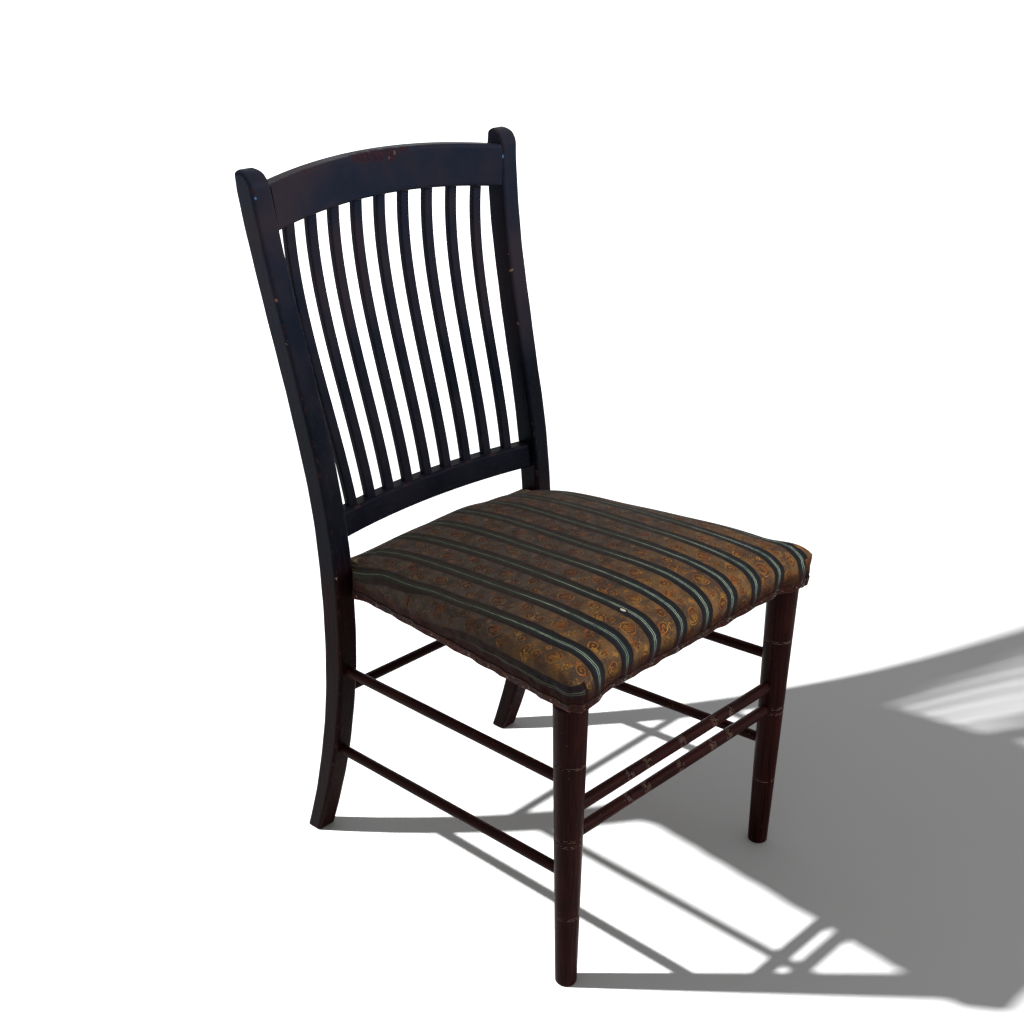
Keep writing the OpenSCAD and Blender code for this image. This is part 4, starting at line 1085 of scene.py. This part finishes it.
# %% Unroll the cloth
fall = np.concatenate([np.zeros((1, len(loop))),
                       np.cumsum(np.linalg.norm(np.diff(down, axis=0), axis=-1), 0)])
sign = np.where(edge_x < 0, -1.0, 1.0)
round_loop = np.concatenate([[0], np.cumsum(np.linalg.norm(np.diff(loop, axis=0), axis=-1))])
half_round = round_loop[(cols_a - 1) // 2]
whole = round_loop[-1] + np.linalg.norm(loop[-1] - loop[0])
from_middle = np.abs(round_loop - half_round)
from_middle = np.minimum(from_middle, whole - from_middle)
side_start = from_middle[(sign > 0) & (edge_y > 0) & (edge_y < 3)].mean()
side_cloth = sign * (seat_half(edge_y) + turned_over(edge_y) + fall)
side_cloth = side_cloth + (sign < 0) * pucker(edge_y)
on_sides = np.stack([side_cloth, np.broadcast_to(from_middle - side_start, fall.shape)], -1)
in_front = np.stack([np.broadcast_to(edge_x, fall.shape), loop_cloth[:, 1] - fall], -1)
behind = np.stack([np.broadcast_to(edge_x, fall.shape), loop_cloth[:, 1] + fall], -1)
middle_x = (edge_x + np.roll(edge_x, -1)) / 2
column = np.arange(len(loop))
at_back = (column >= cols_a + rows_b - 2) & (column < 2 * cols_a + rows_b - 3)
kind = np.where((np.abs(middle_x) < PLEAT) & (column < cols_a), 0, np.where(at_back, 2, 1))
choices = np.stack([in_front, on_sides, behind])
level, beside = np.arange(len(down) - 1)[:, None], np.roll(column, -1)[None]
corners = [choices[kind[None], level, column[None]], choices[kind[None], level + 1, column[None]],
           choices[kind[None], level + 1, beside], choices[kind[None], level, beside]]
skirt_uv = np.stack(corners, 2).reshape(-1, 4, 2)
top_uv = top_cloth.reshape(-1, 2)[faces[:(rows_b - 1) * (cols_a - 1)]]
uv = np.concatenate([top_uv, skirt_uv]).reshape(-1, 2) / 1000.0
top_drop = np.zeros(rows_b * cols_a)
drop = np.concatenate([top_drop, np.broadcast_to(w[1:], skirt.shape[:2]).ravel()])
# painted shade for the pleat: the notch exists only in the colour, and with the slit it is painted
# near-black
painted_notch_shade = on_front * np.exp(-((gap + 0.5) / 2.4) ** 2) * np.exp(-((w - 0.1) / 0.1) ** 2) * (edge_x < 0)
crease_shade = np.clip(slit + painted_notch_shade, 0, 1)
fold = np.concatenate([top_drop, np.broadcast_to(crease_shade[1:], skirt.shape[:2]).ravel()])
seat = add_piece("striped_seat", cover, faces.tolist(), "cover_fabric", striped_cloth, "seat_cover",
                 closed=False, uv=uv, drop=drop, fold=fold)
thicken(seat, 0.0009, -1.0)

# %% [markdown]
# ## The stuffing under the cover
# The cover is stretched over a pad of horsehair and cotton. It hardly shows, but a seat that is
# hollow would be wrong from below and when it is cut. It is a closed form: the crowned top of
# the seat, drawn in a little, above a flat base that rests on the base cloth.

# %% The stuffing's finish and form
def stuffing_finish():
    f = Finish("horsehair", Specular_IOR_Level=0.2)
    tangle = f.noise(240, 6, 0.7, distortion=2.0)
    f.colour(f.between("3b3025", "8a7860", f.step(tangle, 0.35, 0.65)))
    f.rough(f.step(tangle, 0.3, 0.7, 0.8, 0.95))
    f.bump(tangle, 0.0015, 0.8)
    return f.material


STUFFING_BASE, PAD_INSET, PAD_BELOW, PAD_LEAST = 39.8, 0.965, 3.0, 2.0


def seat_plane(y, above):
    """Height of a plane that lies this far above the underside of the frame, square to it."""
    return seat_underside(y) + above / np.cos(TILT)


def pad_grid():
    """The crowned top, and the base straight below it on the plane of the base cloth."""
    a, b = np.meshgrid(PAD_INSET * a_coarse, 0.03 + 0.94 * b_coarse)
    upper, _ = seat_top(a, b)
    upper[..., 2] -= PAD_BELOW
    lower = upper.copy()
    lower[..., 2] = seat_plane(lower[..., 1], STUFFING_BASE)
    upper[..., 2] = np.maximum(upper[..., 2], lower[..., 2] + PAD_LEAST)
    return upper, lower


upper, lower = pad_grid()
rows, cols, _ = upper.shape
index = np.arange(rows * cols).reshape(rows, cols)
rim = edge_loop(index[..., None])[:, 0]
share = np.array([0.25, 0.5, 0.75])[:, None, None]
sides = upper.reshape(-1, 3)[rim] * (1 - share) + lower.reshape(-1, 3)[rim] * share
stack = np.vstack([rim, 2 * rows * cols + np.arange(sides.size // 3).reshape(3, -1), rows * cols + rim])
beside = np.roll(stack, -1, 1)
wall = np.stack([stack[:-1], stack[1:], beside[1:], beside[:-1]], -1).reshape(-1, 4)
pad_faces = np.vstack([grid_faces(rows, cols), rows * cols + grid_faces(rows, cols)[:, ::-1], wall])
pad_points = np.vstack([part.reshape(-1, 3) for part in (upper, lower, sides)])
pad = add_piece("seat_filling", pad_points, pad_faces.tolist(), "stuffing", stuffing_finish(),
                "seat_stuffing")

# %% [markdown]
# ## The worn edge band
# A narrow band is tacked over the cover's hem. It is a thin flat ring carried round the seat on
# the skirt's own surface, with a rolled lower lip that wanders where it has frayed. Age has
# turned it maroon-brown, with rubbed pale threads along its bottom.

# %% The band
def band_finish():
    f = Finish("edge_band_cloth", Specular_IOR_Level=0.1)
    base = f.between("1d0c0c", "341610", f.patches(45, 4, 0.35, 0.65))
    base = f.coat(base, "4a2616", f.patches(120, 4, 0.5, 0.66), 0.5)
    height = f.attribute("height")
    lip = f.step(height, 0.12, 0.04)
    frayed = f.times(lip, f.patches(110, 3, 0.36, 0.6))
    base = f.coat(base, "7d5148", frayed, 0.75)
    specks = f.times(f.patches(210, 3, 0.63, 0.69), 0.6)
    lanes = f.divided(f.scaled(f.axis("X"), 1000.0, -STRIPE_SHIFT), STRIPE_PITCH)
    away = f.distance(lanes, f.calc("ROUND", lanes))
    ends = f.times(f.step(away, 0.17, 0.1), f.step(height, 0.2, 0.6))
    base = f.coat(base, "14100f", ends, 0.7)
    pale = f.times(f.step(away, 0.12, 0.06), f.patches(260, 2, 0.52, 0.6))
    in_front = f.step(f.axis("Y"), -0.262, -0.27)
    base = f.coat(base, "9c9088", f.times(pale, in_front), 0.6)
    f.colour(f.coat(base, "8f6656", specks))
    f.rough(f.patches(90, 3, 0.3, 0.7, 0.62, 0.85))
    weave = f.calc("SINE", f.times(f.plus(height, f.noise(150, 2)), 60.0))
    f.bump(f.plus(weave, f.times(f.noise(320, 4), 3.0)), 0.0003, 0.7)
    return f.material


BAND_TALL, BAND_THICK = 12.0, 1.1
column_length = fall[-1]
wander = 0.4 * np.sin(round_loop / 13.0) + 0.3 * np.sin(round_loop / 5.3)


def on_skirt(height):
    """The point on each column of the skirt that lies this far above the hem, by interpolation."""
    at = (1 - np.clip(height / column_length, 0, 1)) * (len(down) - 1)
    low = np.clip(at.astype(int), 0, len(down) - 2)
    share = (at - low)[:, None]
    return down[low, column] * (1 - share) + down[low + 1, column] * share


ring, _ = rounded_ring(np.array([BAND_TALL / 2]), BAND_THICK / 2, 0.7, arc=4)
ring = ring[0]
band = []
for up, out in ring:
    frayed = wander * (up < 0)
    band.append(on_skirt(np.maximum(up + BAND_TALL / 2 + frayed, 0))
                + (out + BAND_THICK / 2 + 0.25) * normal
                - np.array([0, 0, 1.0]) * np.maximum(-(up + BAND_TALL / 2 + frayed), 0)[..., None])
band = np.stack(band, 1)
height = np.broadcast_to((ring[:, 0] + BAND_TALL / 2) / BAND_TALL, band.shape[:2])
edge_band = add_piece("edge_band", band.reshape(-1, 3),
                      ring_faces(*band.shape[:2], closed_rows=True).tolist(), "braid", band_finish(),
                      "edge_braid", height=height)

# %% [markdown]
# ## Tacks
# Small domed tacks hold the band. There are dozens, so each has only a few faces: three rings of
# a shallow dome and its tip, copied to every place at once by adding arrays, facing outwards.

# %% The tacks
def old_metal(name, metallic, rust_scale, rust_from, paints, rust_rough, clean_rough, pit_scale):
    """Dull metal with rust in patches, which are rougher and pitted."""
    f = Finish(name, Metallic=metallic)
    rust = f.patches(rust_scale, 4, rust_from, 0.6)
    f.colour(f.between(*paints, rust))
    f.rough(f.scaled(rust, rust_rough, clean_rough))
    f.bump(f.noise(pit_scale, 3), 0.0002, 0.5)
    return f.material


TACK_WIDE, TACK_HIGH, TACK_SIDES, TACK_RINGS = 2.2, 0.9, 10, 3
tack_metal = old_metal("old_tack_metal", 0.85, 260, 0.42, ("4d4038", "3b2016"), 0.35, 0.42, 700)
front_x, side_y, back_x = np.linspace(-193, 193, 13), np.linspace(4, 374, 11), np.linspace(-155, 155, 9)
at_front = column < cols_a - 1
at_side = ~at_front & ~at_back


def nearest(values, wanted, allowed):
    away = np.abs(values[None, :] - np.asarray(wanted)[:, None]) + np.where(allowed, 0, 1e6)[None, :]
    return away.argmin(1)


chosen = np.concatenate([
    nearest(edge_x, front_x, at_front),
    nearest(edge_y, side_y, at_side & (edge_x > 0)),
    nearest(edge_y, side_y, at_side & (edge_x < 0)),
    nearest(edge_x, back_x, at_back)])
centres = (on_skirt(np.full(len(loop), 6.0)) + (BAND_THICK + 0.2) * normal)[chosen]
outwards = normal[chosen]
sideways = np.cross([0.0, 0.0, 1.0], outwards)
lat = np.linspace(0, np.pi / 2, TACK_RINGS + 1)[:-1, None]
turn = np.linspace(0, 2 * np.pi, TACK_SIDES, endpoint=False)
dome = xyz(np.cos(lat) * np.cos(turn) * TACK_WIDE, np.cos(lat) * np.sin(turn) * TACK_WIDE,
           np.sin(lat) * TACK_HIGH).reshape(-1, 3)
tip, root = len(dome), len(dome) + 1
dome = np.vstack([dome, [[0, 0, TACK_HIGH], [0, 0, -0.6]]])
heads = (centres[:, None] + dome[None, :, :1] * sideways[:, None] + dome[None, :, 1:2] * [0.0, 0.0, 1.0]
         + dome[None, :, 2:] * outwards[:, None])
turn_to, inmost = np.roll(np.arange(TACK_SIDES), -1), (TACK_RINGS - 1) * TACK_SIDES
one_head = (ring_faces(TACK_RINGS, TACK_SIDES).tolist()
            + [[inmost + k, inmost + turn_to[k], tip] for k in range(TACK_SIDES)]
            + [[turn_to[k], k, root] for k in range(TACK_SIDES)])
tack_faces = [[int(i) + len(dome) * n for i in face] for n in range(len(chosen)) for face in one_head]
add_piece("band_tacks", heads.reshape(-1, 3), tack_faces, "tack_metal", tack_metal, "cover_tacks")

# %% [markdown]
# ## Webbing and base cloth
# From below the seat shows what holds it up: three jute straps each way, woven over and under
# one another, and a coarse cloth laid on them. A strap is a long narrow grid. The weave lifts
# and lowers it with a cosine where it crosses the others. Solidify gives each its thickness.

# %% Jute and hessian
def jute(name, dark, light, scale, relief):
    f = Finish(name, Specular_IOR_Level=0.2)
    wave = [f.add("TexWave", {"Vector": f.where(), "Scale": scale, "Distortion": 1.2, "Detail": 2.0},
                  bands_direction=axis, wave_type="BANDS").outputs["Fac"] for axis in ("X", "Y")]
    weave = f.times(wave[0], wave[1])
    stain = f.patches(14, 5, 0.35, 0.7)
    base = f.between(dark, light, weave)
    f.colour(f.coat(base, "4a3a28", stain, 0.5))
    f.rough(f.step(weave, 0.0, 1.0, 0.95, 0.82))
    f.bump(weave, relief, 0.9)
    return f.material


jute_strap = jute("jute_strap", "6d5a3e", "a48f68", 260.0, 0.0006)
hessian = jute("hessian", "7b6846", "b29b70", 330.0, 0.0004)
STRAP, STRAP_PITCH, STRAP_SAG, STRAP_ABOVE = 50.0, 75.9, 0.8, 37.4
CLOTH_START, CLOTH_LONG, CLOTH_ABOVE = -12, 426, 39.3
INNER_FRONT, INNER_BACK = 16.0, 399.0


def frame_half(y):
    return np.interp(y, [-19.2, 388.0], [229.25, 175.7])


def strap_rows():
    gap = (INNER_BACK - INNER_FRONT + 10) / 4
    return INNER_FRONT + 3 + gap * np.arange(1, 4)


def strap_piece(name, node, grids):
    """Several grids in one mesh; each grid's faces are numbered after the last one's points."""
    points, faces, start = [], [], 0
    for grid in grids:
        rows, cols, _ = grid.shape
        points.append(grid.reshape(-1, 3))
        faces += (grid_faces(rows, cols) + start).tolist()
        start += rows * cols
    piece = add_piece(name, np.vstack(points), faces, "webbing", jute_strap, node, closed=False)
    thicken(piece, 0.0011)
    return piece


def woven(along, crossings, phase):
    """A cosine that is 1 and -1 in turn at the crossings, so that straps go over and under."""
    pitch = crossings[1] - crossings[0]
    return phase * 0.75 * np.cos(np.pi * (along - crossings[0]) / pitch)


lanes, rows_y = np.array([-1, 0, 1]) * STRAP_PITCH, strap_rows()
across_strap = np.linspace(-STRAP / 2, STRAP / 2, 13)
lengthwise, crosswise = [], []
for k, x in enumerate(lanes):
    y = np.linspace(INNER_FRONT - 22, INNER_BACK + 18, 90)
    sag = STRAP_SAG * (1 - ((y - 205) / 200) ** 2).clip(0)
    z = seat_plane(y, STRAP_ABOVE) + woven(y, rows_y, (-1) ** k) - sag
    lengthwise.append(xyz(x + across_strap, y[:, None], z[:, None]))
for k, y in enumerate(rows_y):
    half = float(frame_half(y)) - 20
    x = np.linspace(-half, half, 90)
    lift = woven(x, lanes, -((-1) ** k)) - STRAP_SAG * (1 - (x / half) ** 2)
    z = seat_plane(y - across_strap, STRAP_ABOVE) + lift[:, None]
    crosswise.append(xyz(x[:, None], y - across_strap, z))
strap_piece("straps_lengthwise", "webbing_lengthwise", lengthwise)
strap_piece("straps_crosswise", "webbing_crosswise", crosswise)

y = np.linspace(CLOTH_START, CLOTH_START + CLOTH_LONG, 60)[:, None]
half = frame_half(np.minimum(y, 386)) - 7.0
x = np.linspace(-1, 1, 60) * half
ripples = 0.05 * np.sin(x / 11.0) * np.sin(y / 13.0)
grid = xyz(x, y, seat_plane(y, CLOTH_ABOVE) + ripples)
cloth_base = add_piece("hessian_base", grid.reshape(-1, 3), grid_faces(60, 60).tolist(), "hessian",
                       hessian, "base_cloth", closed=False)
thicken(cloth_base, 0.0006)

# %% [markdown]
# ## The seat frame's own wood
# The rails, corner blocks, dowels and screws under the seat keep their CAD shapes, which are
# plain sawn ones on the real chair too. Their finish is bare beech gone brown: long grain along
# each piece, darker end stains and a rough, unpolished surface.

# %% Finishes for the parts that stay
def bare_wood(name, stretch):
    f = Finish(name, Specular_IOR_Level=0.3)
    grain = f.noise(1.0, 6, 0.62, stretch)
    base = f.between("4a3320", "8a6a45", f.step(grain, 0.32, 0.68))
    base = f.coat(base, "35241a", f.patches(9, 4, 0.45, 0.7), 0.6)
    f.colour(base)
    f.rough(f.step(grain, 0.3, 0.7, 0.62, 0.82))
    f.bump(grain, 0.0005, 0.7)
    return f.material


rail_wood = bare_wood("beech_across", (16.0, 320.0, 320.0))
side_wood = bare_wood("beech_along", (320.0, 16.0, 320.0))
steel = old_metal("screw_steel", 0.9, 190, 0.4, ("7d7973", "59331f"), 0.4, 0.38, 500)
for node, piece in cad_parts.items():
    runs_back = node in ("left_seat_rail", "right_seat_rail")
    finish = steel if "screw" in node else side_wood if runs_back else rail_wood
    if not piece.hide_render:
        piece.data.materials.clear()
        piece.data.materials.append(finish)
        print("kept as it is:", node, "with", finish.name)

# %% [markdown]
# ## Floor, light and camera
# The chair stands on a plain pale floor that runs out of sight. A small lamp behind its left
# shoulder throws the shadow forwards to the right. It is linked to the floor alone, because the
# chair itself is lit softly: by a broad lamp in front and by an even pale world. The small lamp
# doesn't fade with distance, as a window's daylight hardly does. The floor is darker to light
# that bounces on than to the eye, so the dark wood isn't lit from below, and well away from the
# chair it glows to the eye alone, so that its far part stays white.

# %% Set the stage
FLOOR_REACH, ROOM_LIGHT, GLOW_FROM, GLOW_FULL = 30.0, 0.45, 1.3, 2.4


def floor_finish():
    f = Finish("pale_floor", Roughness=0.95, Specular_IOR_Level=0.0)
    rays = f.seen_rays()
    pale = f.between("bfbfbf", "c1c1c1", f.patches(2.0, 2, 0.3, 0.7))
    f.colour(f.mix(rays, paint("6a6a6a"), pale))
    away = f.add("VectorMath", {0: f.where()}, operation="LENGTH").outputs["Value"]
    f.feed(f.shader.inputs["Emission Strength"], f.times(f.step(away, GLOW_FROM, GLOW_FULL), rays))
    f.shader.inputs["Emission Color"].default_value = (1.0, 1.0, 1.0, 1.0)
    return f.material


ends = (-FLOOR_REACH, FLOOR_REACH)
floor = new_object("floor", [(x, y, 0) for x, y in zip((*ends, *ends[::-1]), np.repeat(ends, 2))],
                   [(0, 1, 2, 3)])
floor.data.materials.append(floor_finish())

world = bpy.data.worlds.new("pale_room")
bpy.context.scene.world = world
world.use_nodes = True
room = Wires(world.node_tree)
background = room.tree.nodes["Background"]
background.inputs["Color"].default_value = (1, 1, 1, 1)
room.feed(background.inputs["Strength"], room.step(room.seen_rays(), 0.0, 1.0, ROOM_LIGHT, 1.0))


def pose(piece, right, up, back, at):
    """Turns a piece so that its own three axes lie along these directions, and shows it."""
    turned = np.eye(4)
    turned[:3] = np.stack([right, up, back, place(at)], 1)
    piece.matrix_world = Matrix(turned.tolist())
    bpy.context.scene.collection.objects.link(piece)
    return piece


def lamp(name, at, towards, size, power):
    """A round lamp that faces a point; at and towards are drawing points."""
    data = bpy.data.lights.new(name, "AREA")
    data.shape, data.size, data.energy = "DISK", size, power
    look = place(towards) - place(at)
    look /= np.linalg.norm(look)
    right = np.cross(look, [0, 0, 1])
    right /= np.linalg.norm(right)
    return pose(bpy.data.objects.new(name, data), right, np.cross(right, look), -look, at)


def link_to_floor(piece, state):
    """Lets a lamp light only the floor (INCLUDE), or everything but the floor (EXCLUDE)."""
    group = bpy.data.collections.new(piece.name + "_link")
    group.objects.link(floor)
    piece.light_linking.receiver_collection = group
    group.collection_objects[0].light_linking.link_state = state


shade = bpy.data.lights.new("shadow_lamp", "POINT")
shade.energy, shade.shadow_soft_size, shade.use_nodes = 150.0, 0.04, True
even = shade.node_tree.nodes.new("ShaderNodeLightFalloff")
emission = next(node for node in shade.node_tree.nodes if node.type == "EMISSION")
shade.node_tree.links.new(even.outputs["Constant"], emission.inputs["Strength"])
even.inputs["Strength"].default_value = 1.0
shadow_lamp = bpy.data.objects.new("shadow_lamp", shade)
shadow_lamp.location = place((-1465, 1345, 1940)).tolist()
bpy.context.scene.collection.objects.link(shadow_lamp)
link_to_floor(shadow_lamp, "INCLUDE")
soft = lamp("soft_lamp", (1700, -2700, 2500), (0, 150, 450), 2.0, 100)
link_to_floor(soft, "EXCLUDE")

# %% [markdown]
# ## The viewpoint
# The camera stands to the chair's front left, higher than the top rail, and looks down. Its
# direction comes from a turn, a downward tilt and a very small roll.

# %% The camera
YAW, PITCH, ROLL = np.radians([47.22, 22.82, 0.27])
STANDPOINT = (-1351.6, -971.4, 1247.0)
forward = np.array([np.sin(YAW) * np.cos(PITCH), np.cos(YAW) * np.cos(PITCH), -np.sin(PITCH)])
level_right = np.array([np.cos(YAW), -np.sin(YAW), 0.0])
level_up = np.cross(level_right, forward)
right = level_right * np.cos(ROLL) + level_up * np.sin(ROLL)
up = -level_right * np.sin(ROLL) + level_up * np.cos(ROLL)
data = bpy.data.cameras.new("view")
data.lens, data.sensor_width, data.clip_end = 54.3, 36.0, 200.0
camera = bpy.data.objects.new("view", data)
bpy.context.scene.camera = pose(camera, right, up, -forward, STANDPOINT)
bpy.context.scene.view_settings.view_transform = "Standard"
